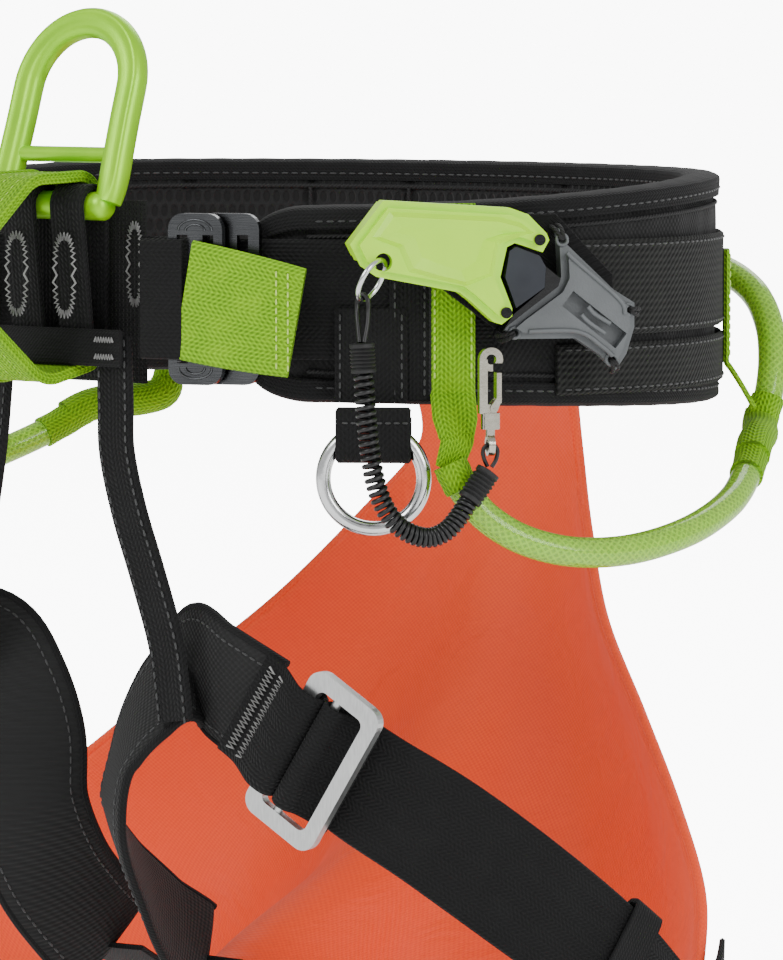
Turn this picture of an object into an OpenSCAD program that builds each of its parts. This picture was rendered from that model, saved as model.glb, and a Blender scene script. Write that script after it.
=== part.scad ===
// Tree climbing saddle: padded waist belt, tie-in ring, gear loops, hand tool on a dock,
// risers, leg loops and a one-piece seat panel. Millimetres. The wearer faces -Y, the
// wearer's left is +X and up is +Z. The origin is the middle of the waist.

/* [Waist belt] */
// Half the outside width of the belt, across the hips
belt_half_w = 176; // [165:1:200]
// Half the outside depth of the belt, front to back
belt_half_d = 139; // [132:1:158]
// Height of the padded belt on the hips
belt_h = 84; // [74:1:100]
// Thickness of the padded belt
belt_t = 13.5; // [10:0.5:18]
// Width of the load webbing
web_w = 45; // [36:1:50]
// Thickness of the load webbing
web_t = 2.2; // [1.6:0.1:3]

/* [Tie-in] */
// Outside width of the anchor ring
ring_w = 64; // [56:1:76]
// Outside height of the anchor ring
ring_h = 84; // [74:1:100]
// Width of the anchor ring's section
ring_sec = 13; // [10:0.5:16]
// Diameter of the anchor ring's lower bar
ring_bar_d = 11; // [9:0.5:12]
// Diameter of the rod across the anchor ring
ring_rod_d = 6; // [4:0.5:8]
// Lean of the anchor ring from upright, in degrees
ring_lean = 18; // [5:1:30]
// Width of the belay loop's webbing
belay_w = 27; // [20:1:28]
// Thickness of the belay loop's webbing
belay_t = 3.6; // [2.5:0.1:4.5]

/* [Side fittings] */
// Outside diameter of the accessory rings
acc_d = 43; // [36:1:52]
// Wire diameter of the accessory rings
acc_wire = 5.6; // [4:0.1:7]
// Width of the accessory ring's hanger
hanger_w = 28; // [22:1:31]
// Outside diameter of the gear loop tube
tube_d = 11.5; // [9:0.5:14]
// Wall of the gear loop tube
tube_wall = 1.6; // [1:0.1:2.2]

/* [Leg loops] */
// Width of the leg strap
leg_web_w = 45; // [38:1:50]
// Width of the leg pad band
leg_pad_w = 46; // [38:1:55]
// Thickness of the leg pad band
leg_pad_t = 7; // [5:0.5:9]
// Outside length of the leg buckle, across the strap
leg_buckle_l = 63; // [56:1:72]
// Outside width of the leg buckle, along the strap
leg_buckle_w = 34; // [30:1:40]
// Thickness of the seat panel
seat_t = 3; // [2:0.5:5]

/* [Hand tool] */
// Thickness of the tool handle
handle_t = 17; // [13:0.5:20]
// Thickness of the dock plate
dock_t = 7; // [5:0.5:9]
// Diameter of the lanyard coil, outside
coil_d = 8; // [6:0.5:10]

/* [Hidden] */
$fn = 48;

BLACK = "#262626";
LIME = "#9ACD0F";
LIME_METAL = "#B8E62A";
GREY = "#7A7D7C";
STEEL = "#B8BABA";
ORANGE = "#F4581A";

gap = 0.4;                       // clearance between bodies that pass close
pad_start = 25;                  // angle at which the pad begins, from the front
half_h = belt_h / 2;

// ---- vectors ----
function unit(v) = v / norm(v);
function mix(a, b, t) = a + (b - a) * t;

// ---- waist path: a point on the belt's outside at angle a from the front, moved out by
// off, and the outward direction there ----
function out_dir(a) = unit([belt_half_d * sin(a), -belt_half_w * cos(a), 0]);
function waist(a, off = 0, z = 0) =
    [belt_half_w * sin(a), -belt_half_d * cos(a), z] + out_dir(a) * off;
function side_angle(a) = a > 180 ? 360 - a : a;
function swell(a) = (1 - cos(180 * min(max(side_angle(a) - pad_start, 0), 105) / 105)) / 2;
function end_round(a) = side_angle(a) < pad_start + 8
    ? 13 * (1 - sqrt(max(0, 1 - pow((pad_start + 8 - side_angle(a)) / 8, 2)))) : 0;
function belt_top(a) = half_h - 7 + 10 * swell(a) - end_round(a);
function belt_bottom(a) = -half_h + 3 - 6 * swell(a) + end_round(a);

// ---- a closed skin through equal rings of points ----
module loft(rings) {
    n = len(rings);
    k = len(rings[0]);
    sides = [for (i = [0 : n - 2], j = [0 : k - 1])
        [i * k + j, i * k + (j + 1) % k, (i + 1) * k + (j + 1) % k, (i + 1) * k + j]];
    ends = [[for (j = [k - 1 : -1 : 0]) j], [for (j = [0 : k - 1]) (n - 1) * k + j]];
    polyhedron(points = [for (r = rings, p = r) p], faces = concat(sides, ends));
}

// ---- a strip of the belt's shape between two angles, two offsets and two heights ----
function strip_ring(a, in, out, zb, zt) =
    [waist(a, out, zb), waist(a, out, zt), waist(a, in, zt), waist(a, in, zb)];
module strip(a0, a1, in, out, zb, zt, step = 5) {
    n = max(2, ceil((a1 - a0) / step));
    loft([for (i = [0 : n]) strip_ring(mix(a0, a1, i / n), in, out, zb, zt)]);
}

// ---- a flat ribbon along a 3-D path; facing gives the outward side at each point ----
function tangent(p, i) = unit(p[min(i + 1, len(p) - 1)] - p[max(i - 1, 0)]);
function ribbon_ring(p, i, facing, w, t) =
    let (d = tangent(p, i), across = unit(cross(d, facing)), n = cross(across, d))
    [p[i] + across * w / 2 + n * t / 2, p[i] - across * w / 2 + n * t / 2,
     p[i] - across * w / 2 - n * t / 2, p[i] + across * w / 2 - n * t / 2];

// ---- smooth path through hand-chosen points ----
function catmull(a, b, c, d, t) = 0.5 * (2 * b + (c - a) * t
    + (2 * a - 5 * b + 4 * c - d) * t * t + (3 * b - a - 3 * c + d) * t * t * t);
function smooth(p, per) = [for (i = [0 : len(p) - 2], j = [0 : per - 1])
    catmull(p[max(i - 1, 0)], p[i], p[i + 1], p[min(i + 2, len(p) - 1)], j / per),
    p[len(p) - 1]];

// ---- a round tube along a path, as one skin ----
function tube_ring(p, i, r, sides) =
    let (d = tangent(p, i), ref = abs(d[0]) > 0.9 ? [0, 0, 1] : [1, 0, 0],
         u = unit(cross(d, ref)), v = cross(d, u))
    [for (k = [0 : sides - 1]) p[i] + (u * cos(360 * k / sides) - v * sin(360 * k / sides)) * r];
module rod_along(p, r, sides = 8) {
    loft([for (i = [0 : len(p) - 1]) tube_ring(p, i, r, sides)]);
}
module hollow_along(p, r_out, r_in, sides = 10) {
    n = len(p);
    k = sides;
    pts = concat([for (i = [0 : n - 1], q = tube_ring(p, i, r_out, k)) q],
                 [for (i = [0 : n - 1], q = tube_ring(p, i, r_in, k)) q]);
    m = n * k;
    polyhedron(points = pts, faces = concat(
        [for (i = [0 : n - 2], j = [0 : k - 1])
            [i * k + j, i * k + (j + 1) % k, (i + 1) * k + (j + 1) % k, (i + 1) * k + j]],
        [for (i = [0 : n - 2], j = [0 : k - 1])
            [m + (i + 1) * k + j, m + (i + 1) * k + (j + 1) % k,
             m + i * k + (j + 1) % k, m + i * k + j]],
        [for (j = [0 : k - 1]) [(j + 1) % k, j, m + j, m + (j + 1) % k]],
        [for (j = [0 : k - 1]) [(n - 1) * k + j, (n - 1) * k + (j + 1) % k,
             m + (n - 1) * k + (j + 1) % k, m + (n - 1) * k + j]]));
}

// ---- puts flat work on the belt: x along the belt, y up, z outward ----
module on_belt(a, off, z = 0) {
    translate(waist(a, off, z))
        rotate([90, 0, atan2(out_dir(a)[0], -out_dir(a)[1])])
            children();
}
module mirrored() {
    mirror([1, 0, 0]) children();
}
module both_sides() {
    children();
    mirrored() children();
}
module rounded(w, h, r) {
    hull() for (x = [-1, 1], y = [-1, 1])
        translate([x * (w / 2 - r), y * (h / 2 - r)]) circle(r, $fn = 24);
}

// ================= waist belt =================
bind_w = 4;                      // width of the binding tape on each edge
seam_gap = 0.2;                  // between the binding and the layers that it edges
cover_t = 2;
lining_t = 2.5;
pad_end = 360 - pad_start;
module belt_layer(in, out, inset) {
    n = 62;
    loft([for (i = [0 : n]) let (a = mix(pad_start, pad_end, i / n))
        strip_ring(a, in, out, belt_bottom(a) + inset, belt_top(a) - inset)]);
}
module belt_cover() color(BLACK) belt_layer(-cover_t, 0, bind_w + seam_gap);
module belt_foam_core() color("#3A3A3A") belt_layer(-belt_t + lining_t,
    -cover_t, bind_w + seam_gap);
module belt_lining() color("#1E1E1E") belt_layer(-belt_t,
    -belt_t + lining_t, bind_w + seam_gap);
module belt_binding() color(BLACK) {
    n = 62;
    loft([for (i = [0 : n]) let (a = mix(pad_start, pad_end, i / n))
        strip_ring(a, -belt_t, 0.6, belt_top(a) - bind_w, belt_top(a))]);
    loft([for (i = [0 : n]) let (a = mix(pad_start, pad_end, i / n))
        strip_ring(a, -belt_t, 0.6, belt_bottom(a), belt_bottom(a) + bind_w)]);
}

// Load webbing round the pad and coarse hip webbing below it
upper_bottom = -web_w / 2 + 8;
module waist_webbing() color("#3C3C3A")
    strip(60, 300, gap, gap + web_t, upper_bottom, upper_bottom + web_w - 9);
module hip_webbing() color("#3C3C3A")
    strip(68, 292, gap, gap + web_t, belt_bottom(68) + bind_w + 0.5, upper_bottom - 3);

// ================= front =================
front_mid = 0;                   // height of the middle of the front webbing
front_end = 58;                  // where the front webbing meets the waist webbing
function front_in(a) = -8 + 10 * min(1, max(0, abs(a) - 6) / 18);
module front_webbing() color(BLACK) {
    n = 36;
    loft([for (i = [0 : n]) let (a = mix(-front_end, front_end, i / n), off = front_in(a))
        strip_ring(a, off, off + web_t, front_mid - web_w / 2, front_mid + web_w / 2)]);
}

// The parts of the tie-in stand in front of the belt, on the middle plane
bar_y = -belt_half_d - 10;       // the anchor ring's lower bar
bar_z = 34;
strap_in = 4;                    // the straps stand this far each side of the middle
strap_w = 16;
strap_t = 2.4;
strap_r = ring_bar_d / 2 + gap + strap_t;
strap_foot_r = 5.2;                   // fold at the foot of each strap
foot_y = bar_y + strap_r - strap_foot_r;
foot_z = -19;
belay_r = strap_r + 0.6 + belay_t;
panel_y = bar_y + belay_r + 0.5;
panel_w = 68;
module tie_in_panel() color("#1E1E1E")
    translate([-panel_w / 2, panel_y, -33]) cube([panel_w, 1.2, 69]);

// Two upright webbing loops that hold the anchor ring's lower bar
module strap_loop_2d(inset) {
    hull() {
        translate([bar_y, bar_z]) circle(strap_r - inset, $fn = 32);
        translate([foot_y, foot_z]) circle(strap_foot_r - inset, $fn = 32);
    }
}
module tie_in_straps() color(BLACK) both_sides()
    translate([strap_in, 0, 0]) rotate([90, 0, 90]) linear_extrude(strap_w) difference() {
        strap_loop_2d(0);
        strap_loop_2d(strap_t);
    }
module lower_tie_in() color(BLACK)
    translate([-panel_w / 2 - 2, foot_y - strap_foot_r - 3.4, -26]) cube([panel_w + 4, 2, 14]);

// Anchor ring: a horseshoe with a straight lower bar and a rod across it
foot_r = 14;                     // bend at each lower corner
arch_r = (ring_w - ring_sec) / 2;
arch_z = ring_h - ring_bar_d / 2 - ring_sec / 2 - arch_r;
ring_depth = 11;
rod_z = 20;
module in_ring_frame() {
    translate([0, bar_y, bar_z]) rotate([-ring_lean, 0, 0]) children();
}
module ring_plate_2d() {
    difference() {
        hull() {
            translate([0, arch_z]) circle(arch_r + ring_sec / 2);
            translate([-ring_w / 2 + foot_r, 6]) circle(foot_r);
            translate([ring_w / 2 - foot_r, 6]) circle(foot_r);
        }
        hull() {
            translate([0, arch_z]) circle(arch_r - ring_sec / 2);
            translate([-ring_w / 2 + foot_r + 2, 10]) circle(foot_r - 7);
            translate([ring_w / 2 - foot_r - 2, 10]) circle(foot_r - 7);
        }
    }
}
module anchor_ring() color(LIME_METAL) in_ring_frame() difference() {
    union() {
        intersection() {
            rotate([90, 0, 0]) translate([0, 0, -ring_depth / 2])
                linear_extrude(ring_depth) ring_plate_2d();
            translate([-ring_w, -ring_w / 2, 7]) cube([2 * ring_w, ring_w, ring_h]);
        }
        for (s = [-1, 1]) hull() {
            translate([s * (ring_w / 2 - ring_bar_d / 2 - 0.4), 0, 8])
                sphere(ring_bar_d / 2, $fn = 20);
            translate([s * (ring_w / 2 - ring_bar_d / 2 - 0.4), 0, 0])
                sphere(ring_bar_d / 2, $fn = 20);
        }
        translate([-ring_w / 2 + ring_bar_d / 2, 0, 0]) rotate([0, 90, 0])
            cylinder(d = ring_bar_d, h = ring_w - ring_bar_d);
    }
    translate([-ring_w, 0, rod_z]) rotate([0, 90, 0])
        cylinder(d = ring_rod_d + 0.04, h = 2 * ring_w);
}
module anchor_ring_rod() color(LIME_METAL) in_ring_frame()
    translate([-ring_w / 2 + 3, 0, rod_z]) rotate([0, 90, 0])
        cylinder(d = ring_rod_d, h = ring_w - 6);

// Belay loop: a stiff webbing loop round the ring's bar and both straps, standing forward
belay_reach = 58;
module belay_2d(inset) {
    hull() {
        translate([bar_y, bar_z]) circle(belay_r - inset, $fn = 32);
        translate([bar_y - 20, bar_z - 6]) circle(belay_r + 5.5 - inset, $fn = 32);
        translate([bar_y - belay_reach + 26, 8]) circle(26 - inset, $fn = 48);
        translate([bar_y - 16, -12]) circle(20 - inset, $fn = 32);
        translate([foot_y, foot_z]) circle(strap_foot_r + 0.6 + belay_t - inset, $fn = 32);
    }
}
module belay_loop() color(LIME) translate([-belay_w / 2, 0, 0]) rotate([90, 0, 90])
    linear_extrude(belay_w) difference() {
        belay_2d(0);
        belay_2d(belay_t);
    }

// Double-plate quick buckle on each side of the tie-in
buckle_a = 20;
plate_h = 64;
plate_w = 25;
plate_t = 3;
rear_off = 3.6;
front_off = rear_off + plate_t + 2.2;
module plate(w = plate_w) {
    linear_extrude(plate_t) difference() {
        rounded(w, plate_h, 6);
        for (s = [-1, 1]) translate([s * w / 4.2, 0]) square([4.4, web_w + 3], center = true);
    }
}
module buckle_rear_plate_left() color(GREY) on_belt(buckle_a + 3.5, rear_off + 1) plate();
module buckle_front_plate_left() color("#55585A") on_belt(buckle_a, front_off + 1) plate(22);
fold_off = front_off + plate_t + 3.2;
module buckle_fold_left() color(BLACK)
    strip(buckle_a - 6.5, buckle_a - 1.2, fold_off, fold_off + web_t,
          front_mid - web_w / 2, front_mid + web_w / 2, 2);
module tail_left() color(LIME) {
    n = 6;
    loft([for (i = [0 : n]) let (t = i / n, a = mix(buckle_a - 1, buckle_a + 13, t),
            off = fold_off - 0.5 + 2 * t, drop = -8 * t)
        strip_ring(a, off, off + web_t, front_mid - web_w / 2 + drop,
                   front_mid + web_w / 2 + drop)]);
}
module buckle_rear_plate_right() mirrored() buckle_rear_plate_left();
module buckle_front_plate_right() mirrored() buckle_front_plate_left();
module buckle_fold_right() mirrored() buckle_fold_left();
module tail_right() mirrored() tail_left();

// ================= side fittings =================
// The hanger is webbing folded round the top of the ring; both swing at the belt's edge
acc_a = 42;
acc_r = (acc_d - acc_wire) / 2;
foot_gap = -0.4628;              // taut webbing: its corners give where they touch the wire
hang_z = -half_h + 2;            // where the hanger swings
acc_z = hang_z - 26;             // centre of the ring
hang_off = 5;
hang_gap = acc_wire + 0.6;
// The hanger's foot lies across the inside of the ring, its corners bearing on the wire
hang_foot = sqrt(max(0, pow(acc_d / 2 - acc_wire, 2) - pow(hanger_w / 2, 2))) - foot_gap;
module ring_hanger_left() color(BLACK) on_belt(acc_a, hang_off, 0) {
    for (z = [0, hang_gap + 2]) translate([-hanger_w / 2, acc_z + hang_foot, z])
        cube([hanger_w, hang_z - acc_z - hang_foot - 1, 2]);
    translate([-hanger_w / 2, acc_z + hang_foot - 2, 0]) cube([hanger_w, 2, hang_gap + 4]);
    translate([-hanger_w / 2, hang_z - 3, 2]) cube([hanger_w, 2, hang_gap]);
}
module accessory_ring_left() color(STEEL) on_belt(acc_a, hang_off + 2 + hang_gap / 2, acc_z)
    rotate_extrude() translate([acc_r, 0]) circle(d = acc_wire, $fn = 32);
module ring_hanger_right() mirrored() ring_hanger_left();
module accessory_ring_right() mirrored() accessory_ring_left();

// Gear loops: a clear tube round a rope core, hung between two webbing tabs.
// Each route is angle round the waist, distance out, height.
edge_drop = half_h - 42;         // the heights below are set for a belt 84 high
front_route = [[51.5, 15, -60], [53, 16, -69], [56, 17, -80], [61, 18, -89], [68, 18, -94],
    [77, 18, -94], [88, 17, -89], [99, 16, -81], [108, 15, -72], [115, 15, -62]];
rear_route = [[127, 19, -56], [128, 23, -46], [130, 26, -32], [133, 27, -18], [138, 26, -6],
    [144, 22, 2], [151, 18, 5], [158, 15, 3], [163, 14, -5]];
function route_points(r) = [for (p = r) waist(p[0], p[1], p[2] - edge_drop)];
core_d = tube_d - 2 * tube_wall - 0.6;
module tube_of(route) color("#D8F08A") hollow_along(smooth(route_points(route), 3),
    tube_d / 2, tube_d / 2 - tube_wall);
module core_of(route) color(LIME) rod_along(smooth(route_points(route), 3), core_d / 2);
module gear_tube_front_left() tube_of(front_route);
module gear_tube_rear_left() tube_of(rear_route);
module gear_tube_front_right() mirrored() gear_tube_front_left();
module gear_tube_rear_right() mirrored() gear_tube_rear_left();
module gear_core_front_left() core_of(front_route);
module gear_core_rear_left() core_of(rear_route);
module gear_core_front_right() mirrored() gear_core_front_left();
module gear_core_rear_right() mirrored() gear_core_rear_left();

// Lime webbing tabs; the front one runs up the belt as a plain stripe
tab_w = 17;
tab_top = 36;
module tab(a, off, z0, z1, w) {
    on_belt(a, off, 0) translate([-w / 2, 0, 0]) {
        translate([0, z1, 0]) cube([w, tab_top - z1, web_t]);
        hull() {
            translate([0, z1, 0]) cube([w, 1, web_t]);
            translate([2, z0, 11]) cube([w - 4, 1, web_t]);
        }
    }
}
module gear_tab_front() color(LIME) both_sides()
    tab(52.3, 4.5, -52 - edge_drop, -34, tab_w);
module gear_tab_rear() color(LIME) both_sides()
    tab(120.5, 4, -48 - edge_drop, -30, tab_w + 3);

// ================= hand tool and dock =================
// The tool lies in a plane of its own: u to the wearer's left, v up, n outward
tool_at = waist(57.5, 12.5, 15);
tool_turn = 50;
module in_tool_frame(n = 0) {
    translate(tool_at) rotate([90, 0, tool_turn]) translate([0, 0, n]) children();
}
tool_u = [cos(tool_turn), sin(tool_turn), 0];
tool_n = [sin(tool_turn), -cos(tool_turn), 0];
function tool_pt(u, v, n) = tool_at + tool_u * u + [0, 0, v] + tool_n * n;
handle_n = 1;                    // back face of the handle
dock_n = -3;                     // back face of the dock
hole_u = -46;
hole_v = 0.5;
hole_d = 6.6;
handle_outline = [[-58, 7], [-45.5, 23], [2, 20], [9, 17.5], [16, 10.5], [17, 8], [14.5, 3.5],
    [4, 7], [1, 5.5], [-1.5, -5.5], [3, -17], [3, -20], [-1, -23], [-4, -22], [-13, -14],
    [-17, -11], [-27, -9], [-48, -5], [-54, -1]];
module handle_2d(inset = 0) {
    offset(r = -inset, $fn = 16) polygon(handle_outline);
}
shell_t = handle_t * 0.6;
hole_wall = 4.5;                 // what is left round the lanyard hole, for the ring to pass
pocket_n = min(12.5, handle_t - hole_wall);   // the pocket behind the hole ends here
module lanyard_hole() {
    translate([hole_u, hole_v, 0]) {
        cylinder(d = hole_d, h = handle_t + 6);
        translate([0, 0, -1]) cylinder(d = 18, h = pocket_n + 1);
        if (handle_t > pocket_n + hole_wall)
            translate([0, 0, pocket_n + hole_wall]) cylinder(d = 18, h = handle_t);
    }
}
lens_outline = [[2.2, 4], [4.6, 5.6], [13.6, 2.2], [16, -2], [15.5, -9.6], [4.8, -17],
    [0.6, -5.6]];
magnet_d = 8;
module handle_shell() color(LIME_METAL) in_tool_frame(handle_n) difference() {
    translate([0, 0, handle_t - shell_t]) {
        linear_extrude(shell_t - 3) handle_2d();
        translate([0, 0, shell_t - 3]) linear_extrude(3) handle_2d(2.6);
    }
    lanyard_hole();
    for (p = screw_at) translate([p[0], p[1], 2]) cylinder(d = screw_d + 0.06, h = 30);
}
module handle_back() color(LIME_METAL) in_tool_frame(handle_n) difference() {
    linear_extrude(handle_t - shell_t) handle_2d(0.8);
    lanyard_hole();
    translate([-12, 2, -1]) cylinder(d = magnet_d + 0.06, h = 4);
    for (p = screw_at) translate([p[0], p[1], 2]) cylinder(d = screw_d + 0.06, h = 30);
}
screw_d = 3;
screw_at = [[0, -18.5], [12.6, 8.2]];
module handle_screws() color("#3A3A3A") in_tool_frame(handle_n) for (p = screw_at)
    translate([p[0], p[1], 2.2]) {
        cylinder(d = screw_d, h = handle_t - 5);
        translate([0, 0, handle_t - 2.2]) cylinder(d = 4.2, h = 0.9);
    }
module handle_magnet() color(STEEL) in_tool_frame(handle_n)
    translate([-12, 2, 0]) cylinder(d = magnet_d, h = 3);
module handle_lens() color("#33363C") in_tool_frame(handle_n + 2)
    linear_extrude(handle_t - 6) polygon(lens_outline);

// Dock: a grey plate with a black frame at the tool's mouth, on a webbing backer
dock_outline = [[23, 12], [26, 6], [44, -11], [52, -16], [52, -25], [49, -35], [45, -41],
    [38.5, -35], [29.5, -29], [8, -29], [2, -25], [8, -20], [22, -10], [24, -6]];
eyelet_at = [[24.2, 7.6], [49.6, -18.5], [43.2, -37], [6.2, -26.6]];
module dock_plate() color(GREY) in_tool_frame(dock_n + 1) difference() {
    union() {
        linear_extrude(dock_t) polygon(dock_outline);
        translate([0, 0, dock_t]) linear_extrude(3) offset(r = -2.5, $fn = 16)
            polygon(dock_outline);
    }
    for (p = eyelet_at) translate([p[0], p[1], -1]) cylinder(d = 2.6, h = 20);
    translate([36, -22, dock_t + 1.4]) rotate([0, 0, -38]) cube([26, 7, 6], center = true);
}
module dock_frame() color("#161616") in_tool_frame(dock_n + 1) linear_extrude(dock_t + 6)
    polygon([[16.8, -2], [22.4, -6.5], [21.4, -9.4], [2.6, -23.4], [0.2, -26], [4.6, -19.4],
        [16.3, -9.9]]);
module dock_backer() color(BLACK) in_tool_frame(dock_n - 2.6)
    linear_extrude(2.5) polygon([[-20, 17], [24, 17], [46, -6], [46, -28], [4, -28], [-20, -10]]);
module dock_magnet() color(STEEL) in_tool_frame(dock_n + 0.1)
    translate([-12, 2, 0]) cylinder(d = magnet_d, h = 3);

// Lanyard: split ring, cable loop, cuff, coiled cord, cuff, cable loop, swivel snap
ring_mid_r = 8.2;
ring_wire = 2;
ring_n = handle_n + pocket_n + hole_wall / 2;
module split_ring() color(STEEL) in_tool_frame(ring_n) translate([hole_u, hole_v, 0])
    rotate([0, 0, -32]) translate([0, -ring_mid_r + 0.4, 0]) rotate([0, 56, 0])
        rotate_extrude() translate([ring_mid_r, 0]) circle(d = ring_wire, $fn = 20);
coil_route = [[-53.5, -40, 18], [-53, -50, 18], [-52.2, -60, 18], [-51, -70, 18],
    [-49.2, -80, 18], [-46, -89, 18], [-41, -96, 18], [-34.5, -100, 18], [-28, -101, 17.5],
    [-22, -98.5, 17], [-17.2, -93.5, 16], [-13.4, -88, 15]];
function tool_route(r) = [for (p = r) tool_pt(p[0], p[1], p[2])];
module lanyard_coil() color("#161616")
    rod_along(smooth(tool_route(coil_route), 3), coil_d / 2, 10);
module cuff_at(p, q, d) {
    rod_along([p, mix(p, q, 0.12), mix(p, q, 0.85), q], d / 2, 12);
}
cuff_d = 10;
module cuff_upper() color("#161616") cuff_at(tool_pt(-54.2, -29, 18),
    tool_pt(-53.5, -39.2, 18), cuff_d);
module cuff_lower() color("#161616") cuff_at(tool_pt(-13.1, -87.6, 15),
    tool_pt(-5.5, -77, 14), cuff_d);
module cable_loop_upper() color("#161616") rod_along(smooth(tool_route([[-53.4, -28.8, 18.2],
    [-51.8, -22, 16.6], [-51.2, -17, 15.1], [-51.3, -13.5, 14.9], [-52.95, -11.3, 13.5],
    [-54.6, -13.5, 12.1], [-54.9, -17, 12.6], [-55.1, -22, 15], [-55, -28.8, 17.8]]), 3), 0.9, 8);
module cable_loop_lower() color("#161616") rod_along(smooth(tool_route([[-4.6, -75.6, 14.6],
    [-2.9, -73, 14.3], [-2.2, -70, 14], [-3.2, -67.9, 14], [-5, -67.4, 14],
    [-6.8, -67.9, 14], [-7.8, -70, 14], [-7.1, -73, 13.7], [-5.9, -75.4, 13.4]]), 3), 0.8, 8);
clip_u = -5;
clip_n = 14;
module in_clip_frame() {
    translate(tool_pt(clip_u, -33, clip_n)) rotate([90, 0, tool_turn]) children();
}
module snap_eye() color("#A9A493") in_clip_frame() difference() {
    union() {
        translate([0, -34.5, 0]) rotate([0, 90, 0]) translate([0, 0, -1.2]) cylinder(d = 8, h = 2.4);
        translate([0, -31.5, 0]) rotate([-90, 0, 0]) cylinder(d = 3.4, h = 6.4);
    }
    translate([0, -34.7, 0]) rotate([0, 90, 0]) translate([0, 0, -3]) cylinder(d = 4.6, h = 6);
}
module snap_body() color("#A9A493") in_clip_frame() difference() {
    union() {
        translate([0, -28.6, 0]) rotate([-90, 0, 0]) cylinder(d = 7, h = 6);
        translate([-4.4, -22.8, -1.8]) cube([3, 20, 3.6]);
        translate([-4.4, -22.8, -1.8]) cube([6.4, 3.4, 3.6]);
        translate([0, -2.8, -1.8]) linear_extrude(3.6) difference() {
            circle(4.4);
            circle(1.9);
            translate([0.6, -6]) square([6, 4.6]);
        }
    }
    translate([0, -29, 0]) rotate([-90, 0, 0]) cylinder(d = 3.5, h = 7);
    translate([1, -20.8, -3]) cylinder(d = 1.26, h = 6);
}
module snap_gate() color("#A9A493") in_clip_frame() {
    translate([1, -20.8, -2.6]) cylinder(d = 1.2, h = 5.2);
    for (z = [-2.6, 1.95]) hull() {
        translate([1, -20.8, z]) cylinder(d = 3, h = 0.65);
        translate([2.8, -17.5, z]) cylinder(d = 2, h = 0.65);
    }
    translate([1.9, -18.9, -2.6]) cube([1.8, 11.2, 5.2]);
}

// ================= leg loops and seat =================
leg_mid = [104, -48, 0];         // middle of the thigh, in plan
function away(p) = unit([p[0] - leg_mid[0], p[1] - leg_mid[1], 0]);
module leg_ribbon(path, w, t, per = 3) {
    p = smooth(path, per);
    loft([for (i = [0 : len(p) - 1]) ribbon_ring(p, i, away(p[i]), w, t)]);
}
pad_path = [[97, -139.8, -154.5], [72, -137, -144], [54, -131, -139], [38, -135, -152],
    [26, -139, -172], [22, -142, -197], [23, -127, -224], [23, -107, -245],
    [24, -90, -258]];
riser_path = [[29.2, -149, -15], [30.6, -150, -40], [32, -151, -58], [37, -150, -80],
    [45, -148.6, -104], [53, -148, -128], [57, -149, -146], [59, -149.6, -158]];
strap_path = [[122, -135.2, -169], [138, -130, -179.5], [158, -114, -196], [180, -87, -222],
    [196, -56, -249], [202, -24, -276]];
module leg_pads() color(BLACK) both_sides() leg_ribbon(pad_path, leg_pad_w, leg_pad_t);
module leg_risers() color(BLACK) both_sides() {
    p = smooth(riser_path, 3);
    loft([for (i = [0 : len(p) - 1]) ribbon_ring(p, i, [0, -1, 0], 17, 3)]);
}
module leg_straps() color(BLACK) both_sides() leg_ribbon(strap_path, leg_web_w, web_t);

// Leg buckle: a flat frame that lies over the strap and lifts on its pad-side bar
buckle_at = [121, -143.8, -168.5];
buckle_out = unit([0.12, -1, 0]);
buckle_along = unit([20, 2, -12.5]);
module in_buckle_frame() {
    across = unit(cross(buckle_out, buckle_along));
    along = cross(across, buckle_out);
    multmatrix([[along[0], across[0], buckle_out[0], buckle_at[0]],
                [along[1], across[1], buckle_out[1], buckle_at[1]],
                [along[2], across[2], buckle_out[2], buckle_at[2]],
                [0, 0, 0, 1]]) children();
}
module leg_buckle_left() color(STEEL) in_buckle_frame() {
    linear_extrude(4, center = true) difference() {
        rounded(leg_buckle_w, leg_buckle_l, 6);
        rounded(leg_buckle_w - 12, leg_buckle_l - 13, 3);
    }
    translate([-3, 0, 0]) rotate([90, 0, 0])
        cylinder(d = 3.6, h = leg_buckle_l - 8, center = true);
}
module leg_buckle_right() mirrored() leg_buckle_left();
module strap_keepers() color(BLACK) both_sides() {
    p = smooth(strap_path, 3);
    i = 12;
    d = tangent(p, i);
    across = unit(cross(d, away(p[i])));
    n = cross(across, d);
    multmatrix([[d[0], across[0], n[0], p[i][0]], [d[1], across[1], n[1], p[i][1]],
                [d[2], across[2], n[2], p[i][2]], [0, 0, 0, 1]])
        difference() {
            cube([15, leg_web_w + 8, web_t + 7], center = true);
            cube([16, leg_web_w + 2.4, web_t + 2.6], center = true);
        }
}

// Seat panel: half of the sheet, from the middle seam to the outer edge, row by row from
// the belt down to the leg loop
seat_rows = [
    [[0, 133, -48], [10, 133, -48], [20, 132, -48], [31, 131, -48], [41, 128.5, -48]],
    [[0, 138, -75], [10, 138, -75], [21, 137, -75], [31, 135, -75], [41, 133, -75]],
    [[0, 133, -105], [15, 134, -105], [30, 132, -105], [45, 125, -105], [60, 114, -105]],
    [[0, 122, -138], [22, 124, -138], [44, 121, -138], [65, 109, -138], [85, 91, -138]],
    [[0, 104, -172], [30, 110, -173], [60, 110, -174], [90, 94, -173], [119, 69, -171]],
    [[0, 76, -205], [37, 92, -208], [75, 96, -210], [114, 80, -208], [151, 48, -203]],
    [[0, 34, -236], [40, 66, -244], [86, 83, -248], [135, 66, -243], [180, 24, -233]],
    [[0, -26, -260], [34, 26, -276], [88, 68, -288], [146, 56, -280], [193, 4, -260]],
    [[7, -62, -270], [32, 2, -296], [90, 56, -314], [150, 44, -308], [200, -12, -290]]];
rows = len(seat_rows);
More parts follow.
